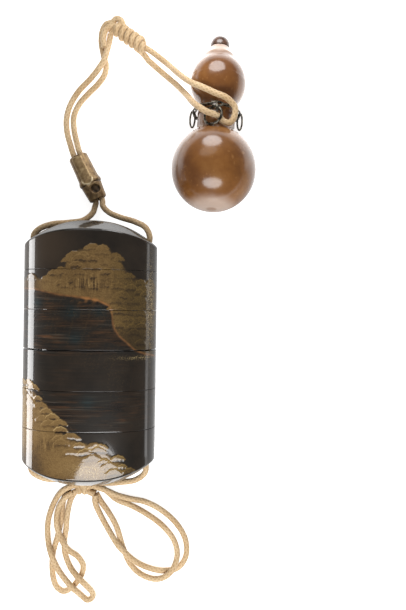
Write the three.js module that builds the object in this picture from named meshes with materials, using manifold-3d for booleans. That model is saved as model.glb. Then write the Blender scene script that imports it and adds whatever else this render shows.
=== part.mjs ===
// A five-case inro (a tier of small lacquered boxes worn at the waist), lying on its back with its
// silk cord, its sliding bead and its gourd toggle laid out beside it.
// Millimetres. X runs across the case, Y along it towards the lid, Z up from the surface it lies on.
// The origin is under the middle of the case.
import * as THREE from "three";
import { ParametricGeometry } from "three/addons/geometries/ParametricGeometry.js";
import { mergeVertices } from "three/addons/utils/BufferGeometryUtils.js";
import Module from "manifold-3d";

const wasm = await Module();
wasm.setup();

// The case: an oval tube of six sections with domed ends.
const CASE_WIDTH = 46.5;
const CASE_DEPTH = 27;
const CASE_LENGTH = 92.8;
const OVAL_POWER = 2.1;
const REST_FLAT = 0.3; // how much of the oval's back is flat, so that it lies still
const SECTION_PITCH = 13.6; // from seam to seam
const MIDDLE_SEAM_Y = 1.4;
const SEAM_GAP = 0.3;
const OPEN_SEAM_GAP = 0.45; // the middle seam stands slightly open
const END_DROP_AT_SIDES = 9; // the domed ends fall this far from crown to side
const END_DROP_AT_FRONT = 4.5; // and this far from crown to front
const END_POWER = 2.3;
const EDGE_ROUNDING = 0.5;
const END_WALL = 2.2;
const RIM_DROP = 0.08; // the dome's rings are this much under its formula, which rounds its rim
const OUTER_DOME_SCALES = [0.985, 0.8, 0.55, 0.28, 0]; // its rings, from rim to crown
const INNER_DOME_SCALES = [1, 0.65, 0.3, 0];

// The inside of each section: a riser stands on the lower one and fits the recess of the upper.
const RECESS = { halfWidth: 18, halfDepth: 12.3, power: 2.4 };
const RISER_CLEARANCE = 0.3;
const RISER_WALL = 1.1;
const RISER_HEIGHT = 4;
const RECESS_DEPTH = 4.5;
const FLOOR = 1.6;

// The cord channels run down both narrow sides, in the thickness of the wall.
const CHANNEL_X = 20.4;
const CHANNEL_RADIUS = 1.6;

// The cord, and the two places where it is knotted.
const CORD_RADIUS = 1.05;
const CORD_SIDES = 8;
const BOW_KNOT = { from: [-6.3, -51.3, 2.6], to: [-0.9, -51.3, 2.6], radius: 2.45, turns: 3 };
const TOGGLE_KNOT = { from: [5.8, 119.4, 3.2], to: [18.8, 110.9, 3.2], radius: 3.1, turns: 4 };
const KNOT_SIDES = 9;
const RINGS_A_TURN = 4;
const KNOT_ENDS = { shrink: 0.35, power: 8 }; // a knot narrows at its two ends
const TURN_HOLLOW = 0.1; // the hollow between its turns, as half its share of the radius

// The bead: a length of bamboo with one swollen joint, bored for both strands.
const BEAD_TOP = [-7.3, 71.3, 3.5];
const BEAD_BOTTOM = [0.5, 55.7, 3.5];
const BEAD_PROFILE = [ // distance from the top and radius there
  [0, 3.35], [0.5, 3.5], [6, 3.6], [9.2, 3.75], [10.4, 4.2], [11.3, 4.1], [12.2, 3.8], [17, 3.25], [17.44, 3.1],
];
const BEAD_DEPTH_RATIO = 0.83; // it is a little flatter than it is wide
const BEAD_SIDES = 10;
const STRAND_SPACING = 2.4;
const BORE_CLEARANCE = 0.3;
const TONGUE = { halfWidth: 2, start: 0.6, length: 11.6, rise: 0.45 };
const SCOOP = { along: 13.9, across: 1, radius: 1.9, depth: 1.1 };

// The toggle: a dried gourd, open at the neck under its stopper.
const LOWER_BULB = { centre: [42.7, 64.8, 14.78], radius: 14.9 };
const UPPER_BULB = { centre: [44, 96.9, 9.88], radius: 10 };
const WAIST_RADIUS = 6.75;
const NECK_RADIUS = 3.6;
const NECK_LENGTH = 13.3; // from the middle of the upper bulb to the mouth
const MOUTH_RADIUS = 2;
const GOURD_WALL = 2;
const GOURD_SIDES = 16;
const GOURD_SOFTNESS = 12; // the power of the soft maximum; a lower one fills the hollows more
const NECK_ROOT = { wider: 0.5, height: 0.98, inside: 0.85 }; // heights as shares of the upper bulb

// Where the gourd's rings are: degrees up each bulb, and heights between the bulbs.
const OUTER_RINGS = {
  lower: [-75, -60, -45, -30, -15, 0, 15, 30, 45],
  between: [12.6, 15, 18, 21.5, 24.5],
  upper: [-35, -18, 0, 18, 35, 52],
};
const INNER_RINGS = { upper: [60, 30, 0, -30], between: [24, 19, 14], lower: [35, 10, -15, -40, -65] };
const STOPPER = { radius: 3.5, height: 4.1, chamfer: 0.3, chamferHeight: 0.7 };
const PLUG = { radius: 1.65, length: 7, gap: 0.3 };
const STOPPER_SIDES = 12;
const STOPPER_TURNS = [0, 25, 50, 72]; // degrees up the dome, one ring at each

// The chain around the waist, with the ring that the cord goes through.
const CHAIN = { along: 20.6, radius: 7.95, links: 10, linkLength: 5.7, linkWidth: 1.7, wire: 0.35 };
const SIDE_LINK = { length: 6.8, width: 2.3, radius: 8.4, lowered: 2.4 };
const HANGING_LINK = { from: [43.5, 82.9, 22.4], to: [43.5, 87.1, 19.6], width: 3.1 };
const RING = { centre: [42.2, 81.8, 21.2], radius: 3.2, wire: 0.45, yaw: -0.42, tilt: 0.52 };

// Routes of the cord's stretches, each point on its middle line.
const ROUTES = {
  cord_left: [
    [-5.2, -47.9, 4.4], [-10.5, -46.7, 8], [-16.3, -45.2, 11.5], [-19.9, -42.4, 13], [-20.4, -38.5, 13.3],
    [-20.4, 38.2, 13.3], [-20.3, 41.3, 13.3], [-18.2, 43.5, 13.2], [-14.3, 45.2, 12], [-9.6, 46.3, 8.2],
    [-4.6, 47.8, 4.6], [-1.6, 50.6, 3.3], [-0.8, 52.9, 3.1], [-0.4, 54.8, 3.5], [-8.5, 71, 3.5],
    [-10.2, 75.5, 2.6], [-11.9, 81, 1.3], [-12.2, 86, 1.1], [-10.9, 91, 1.1], [-7.8, 96.3, 1.1],
    [-3.3, 101, 1.5], [0, 104.2, 3.3], [1.9, 107, 3.7], [2.9, 110.8, 3.1], [3.3, 114.5, 1.1], [3.9, 117.6, 1.5],
  ],
  cord_right: [
    [-2.2, -48, 4.4], [5, -47.8, 7.4], [11.5, -46.6, 10.4], [16.8, -45.1, 12.2], [19.95, -42.4, 13],
    [20.4, -38.5, 13.3], [20.4, 38.2, 13.3], [20.5, 41.3, 13.3], [19, 44.3, 12.9], [15.2, 46.5, 10.9],
    [9, 48.7, 7.2], [4.6, 50.8, 4.8], [2.3, 53.2, 3.9], [1.9, 55.7, 3.5], [-6.3, 72, 3.5],
    [-7.8, 76.5, 2.8], [-9.2, 82, 1.6], [-9.4, 87, 1.1], [-7.4, 91.6, 1.1], [-4, 95.6, 1.1],
    [-0.4, 99.3, 1.1], [1.9, 102.9, 1.1], [2.3, 106.3, 1.1], [1.3, 109.8, 1.1], [0.4, 114.6, 1.1],
    [0.8, 118.6, 1.6], [2.4, 120.8, 2.5], [4.7, 121.2, 3.1],
  ],
  cord_toggle_loop: [
    [19.9, 110.4, 3], [25.7, 104.9, 6], [30.2, 99.2, 11.5], [34.4, 94.7, 16.5], [38.5, 92.1, 19.2],
    [42.6, 90, 20], [46.8, 87.8, 21.2], [49.6, 84.8, 20.8], [49.5, 81.7, 20.3], [48, 79.6, 20.5],
    [46, 79.8, 20.9], [43.8, 81.8, 21], [40.1, 82.9, 21.6], [37.7, 84.5, 20.9], [35.5, 86.9, 18.2],
    [32.5, 92, 12.3], [28.7, 97.3, 7], [22.8, 103.6, 2.6], [17.8, 108.3, 1.3],
  ],
  cord_bow_left_long: [
    [-6.9, -49.8, 4], [-10.8, -51.6, 4.6], [-14.6, -57, 2.2], [-17, -64.5, 1.1], [-16.7, -71, 1.8],
    [-15.1, -75.5, 3.6], [-12.3, -82, 2.8], [-7.4, -87.4, 3.7], [-4.9, -90.4, 2.3], [-3.4, -92.4, 1.2],
    [-2.1, -93.4, 1.1], [-0.6, -93, 1.1], [0.2, -91.7, 1.1], [-0.3, -90.2, 1.3], [-2.1, -87.5, 2.5],
    [-4.6, -84.4, 3.6], [-8, -81.1, 2.3], [-10.5, -76, 1.1], [-10.8, -71.5, 1.1], [-10, -66.5, 2],
    [-9.5, -61.5, 3], [-8.5, -56, 2], [-6.9, -52.9, 1.15],
  ],
  cord_bow_left_short: [
    [-7.2, -50.4, 1.15], [-9.2, -51.7, 1.1], [-11.3, -56, 1.1], [-12, -63, 1.1], [-13.4, -70, 1.1],
    [-15.1, -77, 1.1], [-14.9, -84.5, 1.1], [-13.4, -88.7, 1.1], [-10.8, -90.3, 1.1], [-8, -89, 1.1],
    [-4.4, -84.4, 1.1], [-3.6, -80.8, 1.1], [-5.4, -77.4, 1.5], [-9.2, -73.5, 3.4], [-11.6, -69.5, 3.6],
    [-13.3, -64, 3.4], [-12.5, -58.2, 3.4], [-9.9, -54.3, 3.7], [-7.2, -52.6, 3.8],
  ],
  cord_bow_right_long: [
    [-0.3, -50, 3.6], [4, -51.4, 3.5], [9, -53.7, 2.8], [13.6, -55.2, 1.9], [19, -56.5, 1.1],
    [25, -59.4, 1.1], [31, -64.6, 1.1], [34.4, -70.6, 1.1], [34.6, -76.6, 1.1], [31.8, -80.9, 1.1],
    [26.8, -82.1, 1.1], [21, -81.2, 1.1], [16, -78.3, 2.4], [12.6, -75, 3.6], [9.8, -72.2, 3.6],
    [5.2, -66.4, 1.2], [2.2, -60.5, 1.9], [0.9, -56.4, 3.3], [0.8, -53.4, 3.7],
  ],
  cord_bow_right_short: [
    [-0.3, -50.1, 1.15], [3.5, -51.8, 1.1], [8.5, -55.8, 1.1], [14, -58, 1.1], [20, -61.2, 1.1],
    [26, -65.6, 1.1], [30.2, -71, 1.1], [31.4, -75.8, 2.2], [29.7, -80.8, 3.7], [26.6, -83.7, 3.2],
    [22.8, -85.1, 1.5], [18, -83.6, 1.1], [14, -79.9, 1.1], [11.2, -74, 1.1], [8.6, -66, 1.1],
    [5.4, -60.4, 1.1], [2.5, -56.4, 1.1], [0.9, -53.6, 1.1],
  ],
};

const CASE_AXIS_Z = CASE_DEPTH / 2 - REST_FLAT;
const CASE_SEGMENTS = 32;
const CUTTER = 400; // longer than the whole object

// ---- geometry as solids, and back ----

// A closed geometry as a solid: shared points merged, triangles without area left out.
function solidOf(geometry) {
  const loose = geometry.index ? geometry.toNonIndexed() : geometry;
  const bare = new THREE.BufferGeometry().setAttribute("position", loose.getAttribute("position"));
  const merged = mergeVertices(bare, 1e-4);
  const corners = merged.index.array;
  const kept = [];
  for (let i = 0; i < corners.length; i += 3) {
    const [a, b, c] = corners.slice(i, i + 3);
    if (a !== b && b !== c && c !== a) kept.push(a, b, c);
  }
  const mesh = new wasm.Mesh({
    numProp: 3,
    vertProperties: merged.getAttribute("position").array,
    triVerts: new Uint32Array(kept),
  });
  return new wasm.Manifold(mesh);
}

function geometryOf(solid) {
  const { vertProperties, triVerts } = solid.getMesh();
  const indexed = new THREE.BufferGeometry();
  indexed.setAttribute("position", new THREE.BufferAttribute(vertProperties, 3));
  indexed.setIndex(new THREE.BufferAttribute(triVerts, 1));
  const geometry = indexed.toNonIndexed();
  geometry.computeVertexNormals();
  return geometry;
}

// The turn and move that lay a shape made along +Y from `from` towards `to`, its front kept upwards.
function layAlong(from, to) {
  const start = new THREE.Vector3(...from);
  const along = new THREE.Vector3(...to).sub(start).normalize();
  const across = new THREE.Vector3().crossVectors(along, new THREE.Vector3(0, 0, 1)).normalize();
  const front = new THREE.Vector3().crossVectors(across, along);
  return new THREE.Matrix4().makeBasis(across, along, front).setPosition(start);
}

// A rod along Y through (x, z), as a cutter for bores.
function rod(radius, x, z, length = CUTTER, sides = 12) {
  return solidOf(new THREE.CylinderGeometry(radius, radius, length, sides).translate(x, 0, z));
}

// ---- the case ----

// A body of rings strung on the case's axis. Each ring is an oval shrunk by `scale`, at the height
// `y`, a number or a function of x and of the height z above the axis.
function ringBody(rings) {
  const place = (u, v, target) => {
    const { oval, y, scale = 1 } = rings[Math.round(v * (rings.length - 1))];
    const step = Math.round(u * CASE_SEGMENTS) % CASE_SEGMENTS;
    const turn = (-2 * Math.PI * step) / CASE_SEGMENTS;
    const swell = (t) => Math.sign(t) * Math.abs(t) ** (2 / oval.power);
    const x = scale * oval.halfWidth * swell(Math.cos(turn));
    const z = Math.max(scale * oval.halfDepth * swell(Math.sin(turn)), -CASE_AXIS_Z);
    target.set(x, typeof y === "function" ? y(x, z) : y, z + CASE_AXIS_Z);
  };
  return solidOf(new ParametricGeometry(place, CASE_SEGMENTS, rings.length - 1));
}

const inset = (oval, by) => ({ ...oval, halfWidth: oval.halfWidth - by, halfDepth: oval.halfDepth - by });
const OUTSIDE = { halfWidth: CASE_WIDTH / 2, halfDepth: CASE_DEPTH / 2, power: OVAL_POWER };
const RISER = inset(RECESS, RISER_CLEARANCE);
const CAVITY = inset(RISER, RISER_WALL);

// The domed end's height at x, z: it falls by a power of x and by the square of z.
function endHeight(x, z) {
  const sideways = END_DROP_AT_SIDES * Math.abs(x / OUTSIDE.halfWidth) ** END_POWER;
  return CASE_LENGTH / 2 - sideways - END_DROP_AT_FRONT * (z / OUTSIDE.halfDepth) ** 2;
}

// Rings from the rim of an oval over the dome to its crown; end is 1 for the lid, -1 for the foot.
function domeRings(oval, end, lowered, scales) {
  return scales.map((scale) => ({ oval, scale, y: (x, z) => end * (endHeight(x, z) - lowered) }));
}

const OUTER_DOME = [
  { oval: OUTSIDE, y: (x, z) => endHeight(x, z) - EDGE_ROUNDING },
  ...domeRings(OUTSIDE, 1, RIM_DROP, OUTER_DOME_SCALES),
];
const INNER_DOME = domeRings(CAVITY, 1, END_WALL, INNER_DOME_SCALES);

// The crown is brought up to the full length by dropping the small rounding allowance there.
OUTER_DOME[OUTER_DOME.length - 1].y = CASE_LENGTH / 2;

const mirrored = (rings) =>
  rings.map(({ y, ...ring }) => ({ ...ring, y: typeof y === "function" ? (x, z) => -y(x, z) : -y }));

const seamY = (index) => MIDDLE_SEAM_Y + SECTION_PITCH * index;
const halfGap = (index) => (index === 0 ? OPEN_SEAM_GAP : SEAM_GAP) / 2;

function boredForCord(solid) {
  for (const side of [-1, 1]) solid = solid.subtract(rod(CHANNEL_RADIUS, side * CHANNEL_X, CASE_AXIS_Z));
  return solid;
}

// The lid: a dome over a recess for the riser below.
function lid(seam) {
  const rim = seamY(seam) + halfGap(seam);
  const rings = [
    ...[...INNER_DOME].reverse(),
    { oval: CAVITY, y: rim + RECESS_DEPTH },
    { oval: RECESS, y: rim + RECESS_DEPTH },
    { oval: RECESS, y: rim },
    { oval: OUTSIDE, y: rim },
    ...OUTER_DOME,
  ];
  return boredForCord(ringBody(rings));
}

// A middle case: a recess below its floor, a cavity above it and a riser on its upper rim.
function middleCase(seam) {
  const low = seamY(seam) + halfGap(seam);
  const high = seamY(seam + 1) - halfGap(seam + 1);
  const floor = low + RECESS_DEPTH;
  const rings = [
    { oval: RECESS, y: floor, scale: 0 },
    { oval: RECESS, y: floor },
    { oval: RECESS, y: low },
    { oval: OUTSIDE, y: low },
    { oval: OUTSIDE, y: high },
    { oval: RISER, y: high },
    { oval: RISER, y: high + RISER_HEIGHT },
    { oval: CAVITY, y: high + RISER_HEIGHT },
    { oval: CAVITY, y: floor + FLOOR },
    { oval: CAVITY, y: floor + FLOOR, scale: 0 },
  ];
  return boredForCord(ringBody(rings));
}

// The bottom case: the lid's dome turned over, with a cavity and a riser.
function bottomCase(seam) {
  const high = seamY(seam) - halfGap(seam);
  const rings = [
    ...mirrored([...OUTER_DOME].reverse()),
    { oval: OUTSIDE, y: high },
    { oval: RISER, y: high },
    { oval: RISER, y: high + RISER_HEIGHT },
    { oval: CAVITY, y: high + RISER_HEIGHT },
    ...mirrored(INNER_DOME),
  ];
  return boredForCord(ringBody(rings));
}

// ---- the cord ----

// A smooth route whose steps fall on its own points, so that long straights cost one step.
class CordRoute extends THREE.CatmullRomCurve3 {
  getUtoTmapping(u) {
    return u;
  }
}

function cordStretch(points) {
  const route = new CordRoute(points.map((point) => new THREE.Vector3(...point)), false, "centripetal");
  const section = new THREE.Shape(
    Array.from({ length: CORD_SIDES }, (_, i) => {
      const turn = (2 * Math.PI * i) / CORD_SIDES;
      return new THREE.Vector2(CORD_RADIUS * Math.cos(turn), CORD_RADIUS * Math.sin(turn));
    }),
  );
  const steps = points.length - 1;
  return solidOf(new THREE.ExtrudeGeometry(section, { steps, extrudePath: route, curveSegments: 1 }));
}

// A knot as the outside of its turns: a rod whose radius swells once at every turn.
function knot({ from, to, radius, turns }) {
  const length = new THREE.Vector3(...from).distanceTo(new THREE.Vector3(...to));
  const rings = turns * RINGS_A_TURN;
  const profile = [new THREE.Vector2(0, 0)];
  for (let i = 0; i <= rings; i += 1) {
    const share = i / rings;
    const ends = 1 - KNOT_ENDS.shrink * (2 * share - 1) ** KNOT_ENDS.power;
    const swelling = 1 - TURN_HOLLOW * (1 + Math.cos(2 * Math.PI * turns * share));
    profile.push(new THREE.Vector2(radius * ends * swelling, length * share));
  }
  profile.push(new THREE.Vector2(0, length));
  return solidOf(new THREE.LatheGeometry(profile, KNOT_SIDES).applyMatrix4(layAlong(from, to)));
}

// ---- the bead ----

function bead() {
  const length = BEAD_PROFILE[BEAD_PROFILE.length - 1][0];
  const outline = [[0, 0], ...BEAD_PROFILE.map(([along, radius]) => [radius, along]), [0, length]];
  const points = outline.map(([radius, along]) => new THREE.Vector2(radius, along));
  const body = new THREE.LatheGeometry(points, BEAD_SIDES).scale(1, 1, BEAD_DEPTH_RATIO);

  // The tongue: a strip with a round end that stands on the front of the upper half.
  const strip = new THREE.Shape();
  strip.moveTo(-TONGUE.halfWidth, TONGUE.start);
  strip.lineTo(TONGUE.halfWidth, TONGUE.start);
  strip.lineTo(TONGUE.halfWidth, TONGUE.length - TONGUE.halfWidth);
  strip.absarc(0, TONGUE.length - TONGUE.halfWidth, TONGUE.halfWidth, 0, Math.PI, false);
  const front = BEAD_PROFILE[1][1] * BEAD_DEPTH_RATIO;
  const depth = front + TONGUE.rise;
  const tongue = new THREE.ExtrudeGeometry(strip, { depth, bevelEnabled: false, curveSegments: 6 });

  const scoop = new THREE.SphereGeometry(SCOOP.radius, 10, 8)
    .scale(1, 1, SCOOP.depth / SCOOP.radius)
    .translate(-SCOOP.across, SCOOP.along, front);

  // One bore for both strands, wide enough for them to lie side by side.
  const half = CORD_RADIUS + BORE_CLEARANCE;
  const slot = new THREE.Shape();
  slot.absarc(STRAND_SPACING / 2, 0, half, -Math.PI / 2, Math.PI / 2, false);
  slot.absarc(-STRAND_SPACING / 2, 0, half, Math.PI / 2, (3 * Math.PI) / 2, false);
  const bore = new THREE.ExtrudeGeometry(slot, { depth: CUTTER, bevelEnabled: false, curveSegments: 5 })
    .translate(0, 0, -CUTTER / 2)
    .rotateX(Math.PI / 2);

  const solid = solidOf(body).add(solidOf(tongue)).subtract(solidOf(scoop)).subtract(solidOf(bore));
  return solidOf(geometryOf(solid).applyMatrix4(layAlong(BEAD_TOP, BEAD_BOTTOM)));
}

// ---- the gourd toggle ----

const lowerCentre = new THREE.Vector3(...LOWER_BULB.centre);
const upperCentre = new THREE.Vector3(...UPPER_BULB.centre);
const BULB_DISTANCE = lowerCentre.distanceTo(upperCentre);
const alongGourd = layAlong(LOWER_BULB.centre, UPPER_BULB.centre);

// The gourd's radius at a height above the middle of its lower bulb: the larger of two bulbs, a
// waist and a neck, drawn together by a soft maximum so that they flow into each other.
function gourdRadius(height, shrink = 0) {
  const bulb = (centre, radius) => Math.sqrt(Math.max((radius - shrink) ** 2 - (height - centre) ** 2, 0));
  const stem = height < BULB_DISTANCE ? WAIST_RADIUS : NECK_RADIUS;
  const parts = [bulb(0, LOWER_BULB.radius), bulb(BULB_DISTANCE, UPPER_BULB.radius), stem - shrink];
  return parts.reduce((sum, part) => sum + part ** GOURD_SOFTNESS, 0) ** (1 / GOURD_SOFTNESS);
}

function gourd() {
  const mouth = BULB_DISTANCE + NECK_LENGTH;
  const onLowerBulb = (turn, radius) => {
    const angle = THREE.MathUtils.degToRad(turn);
    return new THREE.Vector2(Math.cos(angle), Math.sin(angle)).multiplyScalar(radius);
  };
  const at = (height, shrink) => new THREE.Vector2(gourdRadius(height, shrink), height);
  const onUpperBulb = (turn, shrink) =>
    at(BULB_DISTANCE + (UPPER_BULB.radius - shrink) * Math.sin(THREE.MathUtils.degToRad(turn)), shrink);

  const outer = [
    new THREE.Vector2(0, -LOWER_BULB.radius),
    ...OUTER_RINGS.lower.map((turn) => onLowerBulb(turn, LOWER_BULB.radius)),
    ...OUTER_RINGS.between.map((height) => at(height, 0)),
    ...OUTER_RINGS.upper.map((turn) => onUpperBulb(turn, 0)),
    new THREE.Vector2(NECK_RADIUS + NECK_ROOT.wider, BULB_DISTANCE + UPPER_BULB.radius * NECK_ROOT.height),
    new THREE.Vector2(NECK_RADIUS, mouth),
  ];
  const inner = [
    new THREE.Vector2(MOUTH_RADIUS, mouth),
    new THREE.Vector2(MOUTH_RADIUS, BULB_DISTANCE + UPPER_BULB.radius * NECK_ROOT.inside),
    ...INNER_RINGS.upper.map((turn) => onUpperBulb(turn, GOURD_WALL)),
    ...INNER_RINGS.between.map((height) => at(height, GOURD_WALL)),
    ...INNER_RINGS.lower.map((turn) => onLowerBulb(turn, LOWER_BULB.radius - GOURD_WALL)),
    new THREE.Vector2(0, GOURD_WALL - LOWER_BULB.radius),
  ];
  const turned = new THREE.LatheGeometry([...outer, ...inner], GOURD_SIDES).applyMatrix4(alongGourd);
  const below = new THREE.BoxGeometry(CUTTER, CUTTER, CUTTER).translate(0, 0, -CUTTER / 2);
  return solidOf(turned).subtract(solidOf(below)); // cuts the two small spots it lies on flat
}

// The stopper: a domed head over a plug that goes down the neck.
function stopper() {
  const seat = BULB_DISTANCE + NECK_LENGTH + PLUG.gap;
  const rim = seat + STOPPER.chamferHeight;
  const rise = STOPPER.height - STOPPER.chamferHeight;
  const profile = [
    new THREE.Vector2(0, seat - PLUG.length),
    new THREE.Vector2(PLUG.radius, seat - PLUG.length),
    new THREE.Vector2(PLUG.radius, seat),
    new THREE.Vector2(STOPPER.radius - STOPPER.chamfer, seat),
  ];
  for (const turn of STOPPER_TURNS) {
    const angle = THREE.MathUtils.degToRad(turn);
    profile.push(new THREE.Vector2(STOPPER.radius * Math.cos(angle), rim + rise * Math.sin(angle)));
  }
  profile.push(new THREE.Vector2(0, seat + STOPPER.height));
  return solidOf(new THREE.LatheGeometry(profile, STOPPER_SIDES).applyMatrix4(alongGourd));
}

// ---- the chain and the ring ----

// One oval link of round wire, flat in the XY plane, its long side along X.
function link(length, width, wire) {
  const radius = width / 2 - wire;
  const stretch = (length / 2 - wire) / radius;
  return new THREE.TorusGeometry(radius, wire, 3, 6).scale(stretch, 1, 1);
}

// Links laid end to end around the waist, turned flat and upright in turn, each through the next.
function waistChain() {
  const { links, linkLength, linkWidth, wire } = CHAIN;
  const around = new THREE.Matrix4().makeTranslation(0, CHAIN.along, 0);
  const put = (geometry, turn, radius, lowered = 0) =>
    solidOf(
      geometry
        .translate(0, -lowered, radius)
        .applyMatrix4(new THREE.Matrix4().makeRotationY(turn))
        .applyMatrix4(around)
        .applyMatrix4(alongGourd),
    );
  const length = new THREE.Vector3(...HANGING_LINK.from).distanceTo(new THREE.Vector3(...HANGING_LINK.to));
  let chain = null;
  for (let i = 0; i < links; i += 1) {
    const piece = link(linkLength, linkWidth, wire).rotateX(i % 2 ? Math.PI / 2 : 0);
    const solid = put(piece, (2 * Math.PI * i) / links, CHAIN.radius);
    chain = chain ? chain.add(solid) : solid;
  }
  for (const side of [-1, 1]) {
    const piece = link(SIDE_LINK.length, SIDE_LINK.width, wire).rotateZ(Math.PI / 2).rotateY(Math.PI / 2);
    chain = chain.add(put(piece, (side * Math.PI) / 2, SIDE_LINK.radius, SIDE_LINK.lowered));
  }
  const hanging = link(length, HANGING_LINK.width, wire).rotateZ(Math.PI / 2).rotateY(Math.PI / 2);
  hanging.translate(0, length / 2, 0).applyMatrix4(layAlong(HANGING_LINK.from, HANGING_LINK.to));
  return chain.add(solidOf(hanging));
}

function cordRing() {
  const ring = new THREE.TorusGeometry(RING.radius, RING.wire, 5, 14).rotateY(-RING.tilt).rotateZ(RING.yaw);
  return solidOf(ring.translate(...RING.centre));
}

// ---- the object ----

const finish = (color, roughness, metalness) => new THREE.MeshStandardMaterial({ color, roughness, metalness });
const lacquer = finish(0x2b221c, 0.18, 0);
const silk = finish(0xc4ab80, 0.8, 0);
const antiqueBrass = finish(0x8a6f45, 0.42, 0.9);
const gourdSkin = finish(0x86501f, 0.16, 0);
const darkWood = finish(0x4a2f24, 0.3, 0);
const darkIron = finish(0x3c3934, 0.45, 0.9);

const inro = new THREE.Group();

function addPiece(name, solid, material) {
  const mesh = new THREE.Mesh(geometryOf(solid), material);
  mesh.name = name;
  inro.add(mesh);
}

const LOWEST_SEAM = -2;
const HIGHEST_SEAM = 2;
addPiece("lid", lid(HIGHEST_SEAM), lacquer);
for (let seam = HIGHEST_SEAM - 1; seam >= LOWEST_SEAM; seam -= 1) {
  addPiece(`case_${HIGHEST_SEAM - seam}`, middleCase(seam), lacquer);
}
addPiece("bottom_case", bottomCase(LOWEST_SEAM), lacquer);

for (const [name, points] of Object.entries(ROUTES)) addPiece(name, cordStretch(points), silk);
addPiece("bow_knot", knot(BOW_KNOT), silk);
addPiece("toggle_knot", knot(TOGGLE_KNOT), silk);

addPiece("bead", bead(), antiqueBrass);
addPiece("gourd", gourd(), gourdSkin);
addPiece("stopper", stopper(), darkWood);
addPiece("waist_chain", waistChain(), darkIron);
addPiece("cord_ring", cordRing(), darkIron);

export default inro;
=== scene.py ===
"""Looks for a five-case inro with its silk cord, its bamboo-shaped bead and its gourd toggle.

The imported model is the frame: everything is in metres, in its axes. X runs across the case, Y along
it towards the lid and Z up from the surface it lies on.
"""

import bmesh
import bpy
import numpy as np
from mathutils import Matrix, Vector


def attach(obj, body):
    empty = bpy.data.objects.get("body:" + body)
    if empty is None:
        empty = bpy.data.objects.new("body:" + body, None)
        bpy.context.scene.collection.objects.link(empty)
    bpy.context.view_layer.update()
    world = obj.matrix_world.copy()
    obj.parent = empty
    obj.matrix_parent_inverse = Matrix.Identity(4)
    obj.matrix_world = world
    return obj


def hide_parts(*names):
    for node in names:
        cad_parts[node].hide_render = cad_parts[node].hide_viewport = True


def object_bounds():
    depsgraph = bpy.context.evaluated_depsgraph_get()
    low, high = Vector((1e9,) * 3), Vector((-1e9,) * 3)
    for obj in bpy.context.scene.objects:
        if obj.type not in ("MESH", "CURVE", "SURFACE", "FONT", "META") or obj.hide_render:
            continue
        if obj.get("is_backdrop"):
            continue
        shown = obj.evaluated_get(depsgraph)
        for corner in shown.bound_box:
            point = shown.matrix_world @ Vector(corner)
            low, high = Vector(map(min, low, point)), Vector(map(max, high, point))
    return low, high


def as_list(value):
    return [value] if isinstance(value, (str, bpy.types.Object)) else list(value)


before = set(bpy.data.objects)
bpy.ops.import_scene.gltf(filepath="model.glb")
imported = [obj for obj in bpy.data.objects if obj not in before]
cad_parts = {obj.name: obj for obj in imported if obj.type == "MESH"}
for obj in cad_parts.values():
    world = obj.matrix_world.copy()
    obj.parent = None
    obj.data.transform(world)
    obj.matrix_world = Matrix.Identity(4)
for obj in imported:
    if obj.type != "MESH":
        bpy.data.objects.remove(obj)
cad_low, cad_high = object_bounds()
MM = 0.001

# ---- camera, floor and studio light ----
# The camera hangs over the middle of the layout and looks straight down on a white table. A soft box
# beyond the foot is the main light; a small one by the toggle and two low cards light the edges.

LONG_SIDE = 0.036  # of the sensor, and as much is the focal length in metres
CAMERA_PLACE = (0.0397, 0.0172, 0.2288)
CAMERA_ROLL = 0.8
FLOOR_HALF = 3.0

camera_data = bpy.data.cameras.new("camera")
camera_data.sensor_width = LONG_SIDE * 1000
camera_data.lens = LONG_SIDE * 1000
camera_data.clip_start = 0.01
camera = bpy.data.objects.new("camera", camera_data)
camera.location = CAMERA_PLACE
camera.rotation_euler = (0, 0, np.radians(CAMERA_ROLL))
bpy.context.scene.collection.objects.link(camera)
bpy.context.scene.camera = camera
bpy.context.scene.view_settings.view_transform = "Standard"


def soft_light(name, place, target, width, height, brightness, shape="ELLIPSE", only=None):
    """An area light that faces a target. Its power is its brightness times pi times its area. `only`
    is a collection of the pieces that it lights, if not all."""
    data = bpy.data.lights.new(name, "AREA")
    data.shape = shape
    data.size, data.size_y = width, height
    data.energy = brightness * np.pi * width * height * (np.pi / 4 if shape == "ELLIPSE" else 1)
    light = bpy.data.objects.new(name, data)
    light.location = place
    light.rotation_euler = (Vector(target) - Vector(place)).to_track_quat("-Z", "Y").to_euler()
    light.light_linking.receiver_collection = only
    bpy.context.scene.collection.objects.link(light)


case_pieces = bpy.data.collections.new("case_pieces")
soft_light("box_beyond_foot", (0.027, -0.128, 0.195), (0.02, 0.03, 0.01), 0.23, 0.13, 8.5)
soft_light("box_by_toggle", (0.038, 0.138, 0.054), (0.042, 0.08, 0.02), 0.056, 0.050, 8.0)
soft_light("box_beyond_lid", (-0.1, 0.45, 0.5), (0.01, 0.04, 0), 0.5, 0.3, 1.4)
for side, place, height, brightness in (("left", -0.108, 0.037, 9.0), ("right", 0.14, 0.028, 1.3)):
    middle = (place, -0.006, height / 2)
    soft_light(f"card_{side}", middle, (0, *middle[1:]), 0.118, height, brightness, "RECTANGLE", case_pieces)

table_mesh = bpy.data.meshes.new("table")
corners = [(-FLOOR_HALF, -FLOOR_HALF, 0), (FLOOR_HALF, -FLOOR_HALF, 0), (FLOOR_HALF, FLOOR_HALF, 0)]
table_mesh.from_pydata(corners + [(-FLOOR_HALF, FLOOR_HALF, 0)], [], [(0, 1, 2, 3)])
table = bpy.data.objects.new("table", table_mesh)
bpy.context.scene.collection.objects.link(table)
table_white = bpy.data.materials.new("white_table")
table_white.use_nodes = True
nodes, links = table_white.node_tree.nodes, table_white.node_tree.links
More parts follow.
